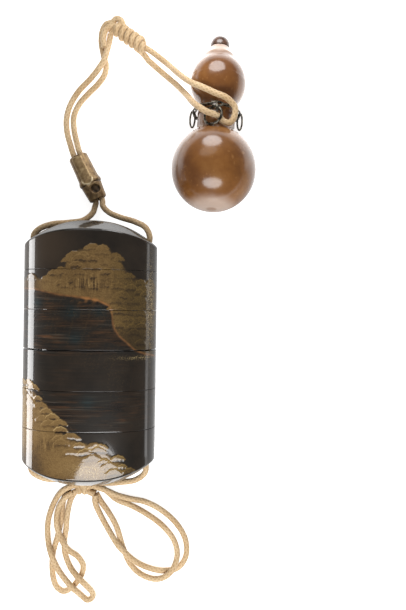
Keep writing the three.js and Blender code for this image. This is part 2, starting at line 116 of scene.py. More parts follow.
# The table glows evenly where it is looked at. In reflections it is grey beside the case and bright
# beyond its two ends.
where = nodes.new("ShaderNodeSeparateXYZ")
links.new(nodes.new("ShaderNodeTexCoord").outputs["Object"], where.inputs["Vector"])
off_middle = nodes.new("ShaderNodeMath")
off_middle.operation = "ABSOLUTE"
links.new(where.outputs["Y"], off_middle.inputs[0])
mirrored, glow = nodes.new("ShaderNodeMapRange"), nodes.new("ShaderNodeMapRange")
for socket, value in (("From Min", 0.05), ("From Max", 0.085), ("To Min", 0.05), ("To Max", 1.5)):
    mirrored.inputs[socket].default_value = value
glow.inputs["To Max"].default_value = 0.85
links.new(off_middle.outputs["Value"], mirrored.inputs["Value"])
links.new(mirrored.outputs["Result"], glow.inputs["To Min"])
links.new(nodes.new("ShaderNodeLightPath").outputs["Is Camera Ray"], glow.inputs["Value"])
links.new(glow.outputs["Result"], nodes["Principled BSDF"].inputs["Emission Strength"])
nodes["Principled BSDF"].inputs["Base Color"].default_value = (0.72, 0.72, 0.72, 1)
nodes["Principled BSDF"].inputs["Specular IOR Level"].default_value = 0.1
nodes["Principled BSDF"].inputs["Emission Color"].default_value = (1, 1, 1, 1)
table_mesh.materials.append(table_white)
table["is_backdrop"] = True

world = bpy.data.worlds.new("studio")
bpy.context.scene.world = world
world.use_nodes = True
world.node_tree.nodes["Background"].inputs["Color"].default_value = (1, 1, 1, 1)
world.node_tree.nodes["Background"].inputs["Strength"].default_value = 0.16

# ---- the silk cord ----
# One length of round plaited silk, 2.1 mm thick, limp with age. From the bow under the foot it runs
# up both sides of the case, through the bead, to the knot at the toggle and around the ring.

CORD_RADIUS = 1.05 * MM
PLAIT_STRANDS = 5  # each way round
PLAIT_PITCH = 1.9 * MM  # along the cord, from one strand to the next of its family
PLAIT_RELIEF = 0.035  # of the radius
CORD_SIDES = 40
CORD_STEP = 0.22 * MM

# Points on the cord's middle line, in millimetres, turned to metres where they are used.
CORD_ROUTES = {
    "cord_left": [
        (-5.2, -47.9, 4.4), (-10.5, -46.7, 8), (-16.3, -45.2, 11.5), (-19.9, -42.4, 13), (-20.4, -38.5, 13.3),
        (-20.4, 38.2, 13.3), (-20.3, 41.3, 13.3), (-18.2, 43.5, 13.2), (-14.3, 45.2, 12), (-9.6, 46.3, 8.2),
        (-4.6, 47.8, 4.6), (-1.6, 50.6, 3.3), (-0.8, 52.9, 3.1), (-0.4, 54.8, 3.5), (-8.5, 71, 3.5),
        (-10.2, 75.5, 2.6), (-11.9, 81, 1.3), (-12.2, 86, 1.1), (-10.9, 91, 1.1), (-7.8, 96.3, 1.1),
        (-3.3, 101, 1.5), (0, 104.2, 3.3), (1.9, 107, 3.7), (2.9, 110.8, 3.1), (3.3, 114.5, 1.1), (3.9, 117.6, 1.5),
    ],
    "cord_right": [
        (-2.2, -48, 4.4), (5, -47.8, 7.4), (11.5, -46.6, 10.4), (16.8, -45.1, 12.2), (19.95, -42.4, 13),
        (20.4, -38.5, 13.3), (20.4, 38.2, 13.3), (20.5, 41.3, 13.3), (19, 44.3, 12.9), (15.2, 46.5, 10.9),
        (9, 48.7, 7.2), (4.6, 50.8, 4.8), (2.3, 53.2, 3.9), (1.9, 55.7, 3.5), (-6.3, 72, 3.5),
        (-7.8, 76.5, 2.8), (-9.2, 82, 1.6), (-9.4, 87, 1.1), (-7.4, 91.6, 1.1), (-4, 95.6, 1.1),
        (-0.4, 99.3, 1.1), (1.9, 102.9, 1.1), (2.3, 106.3, 1.1), (1.3, 109.8, 1.1), (0.4, 114.6, 1.1),
        (0.8, 118.6, 1.6), (2.4, 120.8, 2.5), (4.7, 121.2, 3.1),
    ],
    "cord_toggle_loop": [
        (19.9, 110.4, 3), (25.7, 104.9, 6), (30.2, 99.2, 11.5), (34.4, 94.7, 16.5), (38.5, 92.1, 19.2),
        (42.6, 90, 20), (46.8, 87.8, 21.2), (49.6, 84.8, 20.8), (49.5, 81.7, 20.3), (48, 79.6, 20.5),
        (46, 79.8, 20.9), (43.8, 81.8, 21), (40.1, 82.9, 21.6), (37.7, 84.5, 20.9), (35.5, 86.9, 18.2),
        (32.5, 92, 12.3), (28.7, 97.3, 7), (22.8, 103.6, 2.6), (17.8, 108.3, 1.3),
    ],
    "cord_bow_left_long": [
        (-6.9, -49.8, 4), (-10.8, -51.6, 4.6), (-14.6, -57, 2.2), (-17, -64.5, 1.1), (-16.7, -71, 1.8),
        (-15.1, -75.5, 3.6), (-12.3, -82, 2.8), (-7.4, -87.4, 3.7), (-4.9, -90.4, 2.3), (-3.4, -92.4, 1.2),
        (-2.1, -93.4, 1.1), (-0.6, -93, 1.1), (0.2, -91.7, 1.1), (-0.3, -90.2, 1.3), (-2.1, -87.5, 2.5),
        (-4.6, -84.4, 3.6), (-8, -81.1, 2.3), (-10.5, -76, 1.1), (-10.8, -71.5, 1.1), (-10, -66.5, 2),
        (-9.5, -61.5, 3), (-8.5, -56, 2), (-6.9, -52.9, 1.15),
    ],
    "cord_bow_left_short": [
        (-7.2, -50.4, 1.15), (-9.2, -51.7, 1.1), (-11.3, -56, 1.1), (-12, -63, 1.1), (-13.4, -70, 1.1),
        (-15.1, -77, 1.1), (-14.9, -84.5, 1.1), (-13.4, -88.7, 1.1), (-10.8, -90.3, 1.1), (-8, -89, 1.1),
        (-4.4, -84.4, 1.1), (-3.6, -80.8, 1.1), (-5.4, -77.4, 1.5), (-9.2, -73.5, 3.4), (-11.6, -69.5, 3.6),
        (-13.3, -64, 3.4), (-12.5, -58.2, 3.4), (-9.9, -54.3, 3.7), (-7.2, -52.6, 3.8),
    ],
    "cord_bow_right_long": [
        (-0.3, -50, 3.6), (4, -51.4, 3.5), (9, -53.7, 2.8), (13.6, -55.2, 1.9), (19, -56.5, 1.1),
        (25, -59.4, 1.1), (31, -64.6, 1.1), (34.4, -70.6, 1.1), (34.6, -76.6, 1.1), (31.8, -80.9, 1.1),
        (26.8, -82.1, 1.1), (21, -81.2, 1.1), (16, -78.3, 2.4), (12.6, -75, 3.6), (9.8, -72.2, 3.6),
        (5.2, -66.4, 1.2), (2.2, -60.5, 1.9), (0.9, -56.4, 3.3), (0.8, -53.4, 3.7),
    ],
    "cord_bow_right_short": [
        (-0.3, -50.1, 1.15), (3.5, -51.8, 1.1), (8.5, -55.8, 1.1), (14, -58, 1.1), (20, -61.2, 1.1),
        (26, -65.6, 1.1), (30.2, -71, 1.1), (31.4, -75.8, 2.2), (29.7, -80.8, 3.7), (26.6, -83.7, 3.2),
        (22.8, -85.1, 1.5), (18, -83.6, 1.1), (14, -79.9, 1.1), (11.2, -74, 1.1), (8.6, -66, 1.1),
        (5.4, -60.4, 1.1), (2.5, -56.4, 1.1), (0.9, -53.6, 1.1),
    ],
}


def patch(grid, around=False, lids=False, uv=None, tags=None):
    """A grid of points, rows by columns, that becomes quads. `around` joins the last column to the
    first, `lids` closes the first and last row, `uv` holds a place along for each row and a turn
    for each column and one more, and `tags` hold a colour for every point, by attribute name."""
    return {"grid": grid, "around": around, "lids": lids, "uv": uv, "tags": tags or {}}


def make_piece(name, patches, sharp=None):
    """One mesh from patches. Points that fall together are merged and the faces turned outwards."""
    points, faces, corner_uvs, tags = [], [], [], {}
    start = 0
    for part in patches:
        rows, columns = part["grid"].shape[:2]
        r, c = np.meshgrid(
            np.arange(rows - 1), np.arange(columns if part["around"] else columns - 1), indexing="ij"
        )
        nxt = (c + 1) % columns
        quads = np.stack([r * columns + c, r * columns + nxt, (r + 1) * columns + nxt, (r + 1) * columns + c], -1)
        faces += (quads.reshape(-1, 4) + start).tolist()
        along, turn = part["uv"] or (np.zeros(rows), np.zeros(columns + 1))
        corners = [(along[r], turn[c]), (along[r], turn[c + 1]), (along[r + 1], turn[c + 1]), (along[r + 1], turn[c])]
        corner_uvs.append(np.stack([np.stack(pair, -1) for pair in corners], -2).reshape(-1, 2))
        if part["lids"]:
            first = list(range(start, start + columns))
            last = [index + (rows - 1) * columns for index in first]
            faces += [first[::-1], last]
            corner_uvs.append(np.zeros((2 * columns, 2)))
        for tag, values in part["tags"].items():
            tags.setdefault(tag, []).append(values.reshape(-1, 4))
        points.append(part["grid"].reshape(-1, 3))
        start += rows * columns
    mesh = bpy.data.meshes.new(name)
    mesh.from_pydata(np.vstack(points).tolist(), [], faces)
    mesh.uv_layers.new(name="UVMap").data.foreach_set("uv", np.vstack(corner_uvs).astype(np.float32).ravel())
    for tag, values in tags.items():
        attribute = mesh.attributes.new(tag, "FLOAT_COLOR", "POINT")
        attribute.data.foreach_set("color", np.vstack(values).astype(np.float32).ravel())
    work = bmesh.new()
    work.from_mesh(mesh)
    bmesh.ops.remove_doubles(work, verts=work.verts, dist=1e-7)
    bmesh.ops.dissolve_degenerate(work, dist=1e-8, edges=work.edges)
    bmesh.ops.recalc_face_normals(work, faces=work.faces)
    work.to_mesh(mesh)
    work.free()
    mesh.shade_smooth()
    if sharp is not None:
        mesh.set_sharp_from_angle(angle=np.radians(sharp))
    piece = bpy.data.objects.new(name, mesh)
    bpy.context.scene.collection.objects.link(piece)
    return piece


def unit(vectors):
    return vectors / np.maximum(np.linalg.norm(vectors, axis=-1, keepdims=True), 1e-12)


def smooth_route(points, step=CORD_STEP):
    """A centripetal Catmull-Rom curve through the points: between two points a cubic whose end
    slopes follow from its neighbours, weighted by the square roots of the distances. It is then
    divided into even steps."""
    p = np.asarray(points, float)
    p = np.vstack([2 * p[0] - p[1], p, 2 * p[-1] - p[-2]])
    gap = np.sqrt(np.linalg.norm(np.diff(p, axis=0), axis=1))[:, None]
    g0, g1, g2 = gap[:-2], gap[1:-1], gap[2:]
    a, b, c, d = p[:-3], p[1:-2], p[2:-1], p[3:]
    leave = ((b - a) / g0 - (c - a) / (g0 + g1) + (c - b) / g1) * g1
    arrive = ((c - b) / g1 - (d - b) / (g1 + g2) + (d - c) / g2) * g1
    t = np.linspace(0, 1, 40, endpoint=False)[None, :, None]
    b, c, leave, arrive = b[:, None], c[:, None], leave[:, None], arrive[:, None]
    cubic = b + leave * t + (3 * (c - b) - 2 * leave - arrive) * t**2 + (2 * (b - c) + leave + arrive) * t**3
    dense = np.vstack([cubic.reshape(-1, 3), p[-2]])
    run = np.concatenate([[0], np.cumsum(np.linalg.norm(np.diff(dense, axis=0), axis=1))])
    even = np.linspace(0, run[-1], max(int(run[-1] / step), 4) + 1)
    return np.stack([np.interp(even, run, dense[:, k]) for k in range(3)], -1), even


def plait(along, turn):
    """Height of the plait, 0 to 1: strands wound both ways round, each a cosine of the turn plus or
    minus the way along, and the higher of the two is on top."""
    wound = 2 * np.pi * along / PLAIT_PITCH
    right = np.cos(PLAIT_STRANDS * turn + wound)
    left = np.cos(PLAIT_STRANDS * turn - wound)
    return 0.5 + 0.5 * np.maximum(right, left)


def grey(values):
    """Values from 0 to 1 as colours."""
    return np.stack([values, values, values, np.ones_like(values)], -1)


def tube(points, reference=(0, 0, 1), radius=CORD_RADIUS, flatten=1.0, closed=True):
    """A plaited tube: circles square to the route, its point plus the radius times cos(turn)
    sideways and sin(turn) upwards, raised by the plait. Sideways is square to `reference`."""
    path, even = smooth_route(points)
    forward = unit(np.gradient(path, axis=0))
    sideways = unit(np.cross(forward, np.asarray(reference, float)))
    upwards = np.cross(sideways, forward)
    turn = np.linspace(0, 2 * np.pi, CORD_SIDES + 1)
    relief = plait(even[:, None], turn[None, :-1])
    reach = radius * (1 + PLAIT_RELIEF * (relief - 0.6))
    cos, sin = np.cos(turn[:-1])[None, :, None], flatten * np.sin(turn[:-1])[None, :, None]
    grid = path[:, None] + reach[..., None] * (cos * sideways[:, None] + sin * upwards[:, None])
    uv = (even / PLAIT_PITCH, turn / (2 * np.pi))
    return patch(grid, around=True, lids=closed, uv=uv, tags={"plait": grey(relief)}), path, even[-1]


def metres(points):
    return [tuple(MM * value for value in point) for point in points]


def make_grain_group():
    """Noise at `Place` times `Stretch` times `Size`, as 0 below `Low`, 1 above `High`, even between."""
    group = bpy.data.node_groups.new("grain", "ShaderNodeTree")
    group.interface.new_socket(name="Place", in_out="INPUT", socket_type="NodeSocketVector")
    group.interface.new_socket(name="Stretch", in_out="INPUT", socket_type="NodeSocketVector")
    for name in ("Size", "Detail", "Coarseness", "Low", "High"):
        group.interface.new_socket(name=name, in_out="INPUT", socket_type="NodeSocketFloat")
    group.interface.new_socket(name="Grain", in_out="OUTPUT", socket_type="NodeSocketFloat")
    given, gives = group.nodes.new("NodeGroupInput"), group.nodes.new("NodeGroupOutput")
    stretched, noise = group.nodes.new("ShaderNodeVectorMath"), group.nodes.new("ShaderNodeTexNoise")
    stretched.operation = "MULTIPLY"
    ranged = group.nodes.new("ShaderNodeMapRange")
    for source, target in (
        (given.outputs["Place"], stretched.inputs[0]), (given.outputs["Stretch"], stretched.inputs[1]),
        (stretched.outputs["Vector"], noise.inputs["Vector"]), (given.outputs["Size"], noise.inputs["Scale"]),
        (given.outputs["Detail"], noise.inputs["Detail"]), (given.outputs["Coarseness"], noise.inputs["Roughness"]),
        (noise.outputs["Fac"], ranged.inputs["Value"]), (given.outputs["Low"], ranged.inputs["From Min"]),
        (given.outputs["High"], ranged.inputs["From Max"]), (ranged.outputs["Result"], gives.inputs["Grain"]),
    ):
        group.links.new(source, target)
    return group


grain_group = make_grain_group()


class Finish:
    """A material in the making: one Principled shader, and short ways to add the nodes before it."""

    def __init__(self, name):
        self.material = bpy.data.materials.new(name)
        self.material.use_nodes = True
        self.shader = self.material.node_tree.nodes["Principled BSDF"]
        self.place = self.node("ShaderNodeTexCoord").outputs["Object"]

    def node(self, kind, **settings):
        made = self.material.node_tree.nodes.new(kind)
        for setting, value in settings.items():
            setattr(made, setting, value)
        return made

    def feed(self, socket, value):
        """A socket takes another's output or a plain value; a plain colour is three numbers."""
        if hasattr(value, "is_output"):
            self.material.node_tree.links.new(value, socket)
        elif socket.type == "RGBA":
            socket.default_value = (*value, 1)
        else:
            socket.default_value = value

    def finish(self, settings):
        for name, value in settings.items():
            self.feed(self.shader.inputs[name], value)

    def grain(self, size, low=0.0, high=1.0, stretch=(1, 1, 1), detail=4.0, coarseness=0.55, place=None):
        made = self.node("ShaderNodeGroup", node_tree=grain_group)
        self.feed(made.inputs["Place"], place or self.place)
        values = {"Stretch": stretch, "Size": size, "Detail": detail, "Coarseness": coarseness, "Low": low, "High": high}
        for name, value in values.items():
            self.feed(made.inputs[name], value)
        return made.outputs["Grain"]

    def ramp(self, factor, *stops):
        """Colours at places from 0 to 1, even between."""
        made = self.node("ShaderNodeValToRGB")
        elements = made.color_ramp.elements
        for index, (spot, colour) in enumerate(stops):
            element = elements[index] if index < 2 else elements.new(spot)
            element.position, element.color = spot, (*colour, 1)
        self.feed(made.inputs["Fac"], factor)
        return made.outputs["Color"]

    def mix(self, factor, below, above, kind="MIX"):
        made = self.node("ShaderNodeMix", data_type="RGBA", blend_type=kind)
        for index, value in ((0, factor), (6, below), (7, above)):
            self.feed(made.inputs[index], value)
        return made.outputs[2]

    def maths(self, kind, first, second):
        made = self.node("ShaderNodeMath", operation=kind)
        self.feed(made.inputs[0], first)
        self.feed(made.inputs[1], second)
        return made.outputs[0]

    def masks(self, attribute):
        split = self.node("ShaderNodeSeparateColor")
        self.feed(split.inputs["Color"], self.node("ShaderNodeAttribute", attribute_name=attribute).outputs["Color"])
        return split.outputs["Red"], split.outputs["Green"], split.outputs["Blue"]

    def bump(self, height, depth, strength):
        made = self.node("ShaderNodeBump")
        for name, value in (("Height", height), ("Distance", depth), ("Strength", strength)):
            self.feed(made.inputs[name], value)
        self.feed(self.shader.inputs["Normal"], made.outputs["Normal"])


silk = Finish("aged_silk")
strand_top, _, _ = silk.masks("plait")
# Painted shade in the plait's creases: the valleys between strands are darker brown, the strand tops paler tan.
strand_colour_and_crease_shade = silk.ramp(strand_top, (0.0, (0.42, 0.28, 0.145)), (0.8, (0.64, 0.475, 0.285)))
age = silk.ramp(silk.grain(150, 0.35, 0.65, detail=3), (0, (0.80, 0.74, 0.66)), (1, (1, 1, 1)))
along_cord = silk.node("ShaderNodeUVMap", uv_map="UVMap").outputs["UV"]
fibres = silk.grain(1.0, 0.3, 0.7, stretch=(4, 70, 1), place=along_cord)
silk.bump(fibres, 0.08 * MM, 0.3)
silk.finish({
    "Base Color": silk.mix(1.0, strand_colour_and_crease_shade, age, "MULTIPLY"), "Roughness": 0.62, "Specular IOR Level": 0.35,
    "Sheen Weight": 0.3, "Sheen Roughness": 0.4, "Sheen Tint": (1.0, 0.92, 0.78),
})


def fitted(piece, finish, node):
    """The piece takes its finish and stands for its node of the frame."""
    piece.data.materials.append(finish.material)
    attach(piece, "root")
    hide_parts(node)
    return piece


cords = {}
cord_lines = {}
for cord_name, route in CORD_ROUTES.items():
    part, cord_lines[cord_name], _ = tube(metres(route))
    cords[cord_name] = fitted(make_piece(f"silk_{cord_name}", [part]), silk, cord_name)

# ---- the lacquered case ----
# A lid, four cases and a bottom case of thin wood under black-brown lacquer, each hollow and each
# with a riser that fits the next. The landscape on them is raised gold lacquer under a clear coat.

HALF_WIDTH, HALF_DEPTH, HALF_LENGTH = 23.25 * MM, 13.5 * MM, 46.4 * MM
OVAL_POWER = 2.1
AXIS_HEIGHT = 13.2 * MM
SECTION_PITCH = 13.6 * MM
MIDDLE_SEAM = 1.4 * MM
SEAM_GAP, OPEN_SEAM_GAP = 0.1 * MM, 0.4 * MM
SIDE_DROP, FRONT_DROP, DROP_POWER = 9 * MM, 4.5 * MM, 2.3
RECESS = (18 * MM, 12.3 * MM, 2.4)
RISER = (17.7 * MM, 12 * MM, 2.4)
CAVITY = (16.6 * MM, 10.9 * MM, 2.4)
OUTSIDE = (HALF_WIDTH, HALF_DEPTH, OVAL_POWER)
RECESS_DEPTH, RISER_HEIGHT = 4.5 * MM, 4 * MM
FLOOR, END_WALL = 1.6 * MM, 2.2 * MM
RIM_ROUNDING = 0.12 * MM
CHANNEL_PLACE, CHANNEL_RADIUS, CHANNEL_PIT = 20.4 * MM, 1.6 * MM, 3.5 * MM
COLUMNS = 520
ROW_STEP = 0.26 * MM

column_turn = np.linspace(-np.pi, np.pi, COLUMNS, endpoint=False)  # 0 is the middle of the front


def oval(shape, scale=1.0):
    """x and z of an oval: half width times sin(turn), half depth times cos(turn), each to the
    power 2/p with its sign kept, and the back cut flat where it rests."""
    half_width, half_depth, power = shape
    swell = lambda value: np.sign(value) * np.abs(value) ** (2 / power)
    x = scale * half_width * swell(np.sin(column_turn))
    z = scale * half_depth * swell(np.cos(column_turn))
    return x, np.maximum(z, -AXIS_HEIGHT)


def end_height(x, z):
    """Height of the domed end over the middle: it falls by a power of x and by the square of z."""
    sideways = SIDE_DROP * np.abs(x / HALF_WIDTH) ** DROP_POWER
    return HALF_LENGTH - sideways - FRONT_DROP * (z / HALF_DEPTH) ** 2


def ring(shape, y, scale=1.0):
    x, z = oval(shape, scale)
    return np.stack([x, np.broadcast_to(y, x.shape), z + AXIS_HEIGHT], -1)


front_x, front_z = oval(OUTSIDE)
outline = np.stack([front_x, front_z], -1)
steps = np.linalg.norm(np.roll(outline, -1, axis=0) - outline, axis=1)
girth = steps.sum()
around_case = np.concatenate([[0], np.cumsum(steps)[:-1]]) - girth / 2  # 0 at the front's middle
# Both broad faces carry the same picture: `face_across` runs over each from side to side.
face_across = (around_case + girth / 4) % (girth / 2) - girth / 4
outwards = unit(np.roll(outline, -1, axis=0) - np.roll(outline, 1, axis=0))
outwards = np.stack([-outwards[:, 1], np.zeros(COLUMNS), outwards[:, 0]], -1)

# The picture's driving places, in millimetres across and along a face.
FAR_SHORE = [
    (-30, 22.3), (-17.8, 21.8), (-7.6, 19.9), (-0.8, 19.3), (5, 18.2), (8.4, 16.6), (9.4, 14.4), (9.7, 11.6),
    (10.4, 8.8), (12, 6.4), (14.7, 4.1), (17.6, 1.6), (21.6, 0.2), (30, -1.2),
]
HILL_TOP = [
    (-30, 27), (-18, 27.2), (-14.5, 26.8), (-11.5, 28.2), (-8.2, 29.2), (-6, 33.2), (-2, 36.4), (4.5, 37.6),
    (8.6, 36.6), (12.6, 33.4), (14.6, 30.2), (17.2, 27.4), (21.6, 26.6), (25.5, 25.6), (30, 24),
]
NEAR_SHORE = [
    (-30, -9), (-20, -10), (-16.5, -12.5), (-14.1, -16.5), (-8.4, -20.4), (-5, -26), (0.9, -28.4),
    (6.2, -29.8), (11.8, -34), (16.4, -38), (22.4, -40.6), (30, -42),
]
PAD_ROW_STEP, PAD_SPACING = 2.2, 4.4
PAD_HALF_WIDTH, PAD_ARCH, PAD_THICKNESS = 2.7, 1.55, 1.8
RIM_WIDTH, SHADE_WIDTH = 0.6, 0.6  # of a pad's lit upper edge and of the shade under it
PAD_LIFT, GROUND_LIFT, LINE_LIFT = 0.09 * MM, 0.03 * MM, 0.06 * MM
FACE_EDGE = 28.4  # where the picture fades into plain lacquer at the narrow sides
SHORE_LINE_WIDTH = 0.3


def step_up(value, low, high):
    """0 below `low`, 1 above `high`, and an even S-curve between."""
    t = np.clip((value - low) / (high - low), 0, 1)
    return t * t * (3 - 2 * t)


def heights_of(line, across):
    xs, ys = zip(*line)
    return np.interp(across, xs, ys)


def beyond(line, across, along):
    """Distance past a shore: the height over it, divided by the hypotenuse of 1 and its slope."""
    slope = (heights_of(line, across + 0.2) - heights_of(line, across - 0.2)) / 0.4
    return (along - heights_of(line, across)) / np.hypot(1, slope)


def spot(across, along, middle, half_width, half_height):
    """A soft round patch: 1 in its middle, falling off as a bell."""
    return np.exp(-(((across - middle[0]) / half_width) ** 2 + ((along - middle[1]) / half_height) ** 2))


def ripple(across, along, waves, seed):
    """A smooth uneven surface from a few sine waves of seeded direction, length and phase."""
    draw = np.random.default_rng(seed)
    total = np.zeros(np.broadcast(across, along).shape)
    for _ in range(waves):
        heading, length, phase = draw.uniform(0, np.pi), draw.uniform(1.2, 5), draw.uniform(0, 2 * np.pi)
        total += np.sin((across * np.cos(heading) + along * np.sin(heading)) * 2 * np.pi / length + phase)
    return total / waves


def pads_between(lowest, highest, seed):
    """Places and sizes of pine pads, back row first: rows a step apart, pads evenly spaced along each
    and every other row shifted by half, kept where the row is between two lines of heights."""
    draw = np.random.default_rng(seed)
    for row, level in enumerate(np.arange(38, -46, -PAD_ROW_STEP)):
        for x in np.arange(-30 + (row % 2) * PAD_SPACING / 2, 30, PAD_SPACING):
            x, y = x + draw.uniform(-1.4, 1.4), level + draw.uniform(-0.9, 0.9)
            size, strength = draw.uniform(0.65, 1.3), draw.uniform(0.15, 1.0)
            if heights_of(lowest, x) < y < heights_of(highest, x):
                yield x, y, size, strength


def lay_pads(pads, across, along, tone, gold, lift, rim, shade):
    """Pads of pine needles laid row over row. A pad is a band under a parabola's arch, as thick as
    an ellipse over its width. Its upper edge gets a painted highlight, and a thin dark arc of painted shade lies under
    it."""
    ground = tone.copy()
    for x, y, size, strength in pads:
        reach = (across - x) / (PAD_HALF_WIDTH * size)
        scallop = 0.10 * np.cos(11 * reach + x)
        below_top = y + PAD_ARCH * size * (1 - reach**2) + scallop - along
        thickness = PAD_THICKNESS * size**0.5 * np.sqrt(np.clip(1 - reach**2, 0, 1))
        inside = step_up(below_top, -0.1, 0.15) * step_up(thickness - below_top, -0.15, 0.15)
        under = step_up(below_top - thickness, -0.1, 0.15) * step_up(thickness - below_top, -2 * SHADE_WIDTH, -0.15)
        under *= step_up(1 - np.abs(reach), 0.05, 0.4)
        edge = 1 - step_up(below_top, 0.1, RIM_WIDTH)
        tone = tone * (1 - shade * strength * under)
        tone = tone * (1 - inside) + inside * (ground + rim * strength * edge)
        gold = np.maximum(gold, inside)
        crown = np.clip(below_top * (thickness - below_top) / 0.4, 0, 1)
        lift = lift * (1 - inside) + inside * (0.4 + 0.6 * crown)
    return np.clip(tone, 0, 1), gold, lift


def picture(across, along):
    """The landscape at places on a face, in millimetres: colour masks and the height of its relief.
    A shore is a line of heights over `across`; what is above or below it is a soft step. Gold is
    strongest on the hill, pads lie on it in rows, and an orange line follows the water's edge."""
    rough = ripple(across, along, 9, 3)
    past_far, past_near = beyond(FAR_SHORE, across, along), beyond(NEAR_SHORE, across, along)
    fade = step_up(-np.abs(across), -FACE_EDGE - 0.8, -FACE_EDGE + 1.2)
    hill = step_up(past_far + 0.2 * rough, -0.2, 0.5) * step_up(-beyond(HILL_TOP, across, along), 1.0, 2.6)
    near_ground = step_up(0.4 * rough - past_near, 0.2, 2.0)
    dusk = step_up(across, 5, 19)  # the hill's right side is duller
    hill_tone = 0.46 - 0.17 * dusk - 0.10 * step_up(-along, -13, -5) - 0.16 * step_up(-across, 13, 19)
    ground_tone = 0.50 - 0.26 * step_up(-across, 8, 19) * step_up(-along, 26, 38) - 0.12 * step_up(-along, 38, 43)
    ground_tone = ground_tone - 0.22 * step_up(across, 10, 19)
    hill_tone, hill, hill_lift = lay_pads(
        pads_between([(x, y + 3.2) for x, y in FAR_SHORE], [(x, y - 0.9) for x, y in HILL_TOP], 11),
        across, along, hill_tone + 0.03 * rough, hill, 0 * rough, 0.16, 0.62,
    )
    ground_tone, near_ground, ground_lift = lay_pads(
        pads_between([(x, y - 6.5) for x, y in NEAR_SHORE], NEAR_SHORE, 12),
        across, along, ground_tone + 0.05 * rough, near_ground, 0 * rough, 0.42, 0.85,
    )
    upper = past_far + past_near > 0
    gold = np.where(upper, hill, near_ground) * fade
    tone = np.where(upper, hill_tone, ground_tone)
    lift = np.where(upper, hill_lift * (1 - 0.5 * dusk), ground_lift)
    shore_line = np.exp(-((past_far / SHORE_LINE_WIDTH) ** 2)) * fade
    shore_line = shore_line * (0.45 + 0.4 * rough + 0.5 * spot(across, along, (6, 17.4), 5, 3))
    line = np.clip(shore_line + spot(across, along, (1.5, 18.4), 3.2, 0.9) * step_up(rough, -0.2, 0.4), 0, 1)
    water = (1 - gold) * step_up(-past_far, -0.3, 0.8) * step_up(along, -29, -20)
    still = step_up(along, -13.5, -11.5) * step_up(-along, -1.0, 0.6)  # the band below the middle seam
    streaks = water * (1 - 0.85 * still) * (1 - 0.55 * step_up(across, 12, 16) * step_up(-along, 0, 3))
    haze = step_up(-across, -2, 12) * step_up(along, 24, 34) * (1 - gold)
    flakes_and_glints = 0.8 * spot(across, along, (2.5, -38.5), 5.5, 2.4) + 0.6 * spot(across, along, (19, -1.0), 6, 0.6)
    # Painted glints: a strip of bright specks down each narrow side, where the side cards' highlight runs. The two
    # patches above are the gold's own flakes.
    flakes_and_glints += 0.8 * spot(across, along, (24, 16), 1.8, 14) + 0.8 * spot(across, along, (-24, -22), 1.8, 12)
    olive = gold * dusk
    strokes = gold * spot(across, along, (1.5, 23.8), 6.5, 2.6) + 0.7 * gold * spot(across, along, (-12, -30), 3, 2)
    teal = water * sum(
        spot(across, along, middle, 2.4, 2.0) for middle in ((-4, 14.6), (5.6, 14.8), (-2.5, 5.4), (-17, 17), (2, -16))
    )
    height = GROUND_LIFT * gold + PAD_LIFT * lift * fade + LINE_LIFT * line
    ones = np.ones_like(gold)
    maki_e = np.stack([gold, tone, line, ones], -1)
    waters = np.stack([streaks * fade, haze * fade, np.clip(flakes_and_glints, 0, 1) * fade, ones], -1)
    tints = np.stack([olive, np.clip(strokes, 0, 1), np.clip(teal, 0, 1) * fade, ones], -1)
    return {"maki_e": maki_e, "waters": waters, "tints": tints}, height
lacquer = Finish("black_brown_lacquer")
gold, tone, shore_line = lacquer.masks("maki_e")
streaked, haze, flake_and_glint_mask = lacquer.masks("waters")
olive, stroked, teal = lacquer.masks("tints")
ground = lacquer.ramp(lacquer.grain(90, 0.35, 0.7), (0, (0.0110, 0.0083, 0.0060)), (1, (0.0235, 0.0168, 0.0115)))
ground = lacquer.mix(lacquer.maths("MULTIPLY", haze, 0.55), ground, (0.047, 0.031, 0.019))
brushed = lacquer.grain(1.0, 0.40, 0.74, stretch=(70, 1250, 300), detail=5)
rust = lacquer.ramp(brushed, (0, (0.0085, 0.0062, 0.0045)), (1, (0.105, 0.044, 0.018)), (0.6, (0.034, 0.0185, 0.0095)))
drifts = lacquer.grain(1.0, 0.42, 0.60, stretch=(90, 230, 110), detail=2)
rust = lacquer.mix(drifts, rust, (0.014, 0.0115, 0.0090))
blue = lacquer.ramp(brushed, (0, (0.006, 0.0095, 0.0095)), (1, (0.022, 0.034, 0.035)))
water = lacquer.mix(teal, rust, blue)
crests = lacquer.grain(1.0, 0.60, 0.74, stretch=(45, 2300, 200), detail=2)
water = lacquer.mix(lacquer.maths("MULTIPLY", crests, 0.30), water, (0.15, 0.125, 0.095))
ground = lacquer.mix(streaked, ground, water)
powder = lacquer.grain(2600, 0.3, 0.7, detail=2)
drift = lacquer.grain(150, 0.40, 0.64, detail=4)
strokes = lacquer.grain(1.0, 0.44, 0.60, stretch=(1700, 170, 800), detail=2)
shade = lacquer.maths("ADD", tone, lacquer.maths("MULTIPLY", lacquer.maths("SUBTRACT", powder, 0.5), 0.16))
shade = lacquer.maths("SUBTRACT", shade, lacquer.maths("MULTIPLY", drift, 0.07))
stroke_shade = lacquer.maths("MULTIPLY", lacquer.maths("SUBTRACT", strokes, 0.6), 0.36)
shade = lacquer.maths("ADD", shade, lacquer.maths("MULTIPLY", stroke_shade, stroked))
gold_colour = lacquer.ramp(
    shade, (0.0, (0.016, 0.009, 0.005)), (1.0, (0.56, 0.43, 0.225)), (0.2, (0.052, 0.030, 0.012)),
    (0.4, (0.125, 0.072, 0.024)), (0.6, (0.215, 0.132, 0.048)), (0.8, (0.36, 0.25, 0.105)),
)
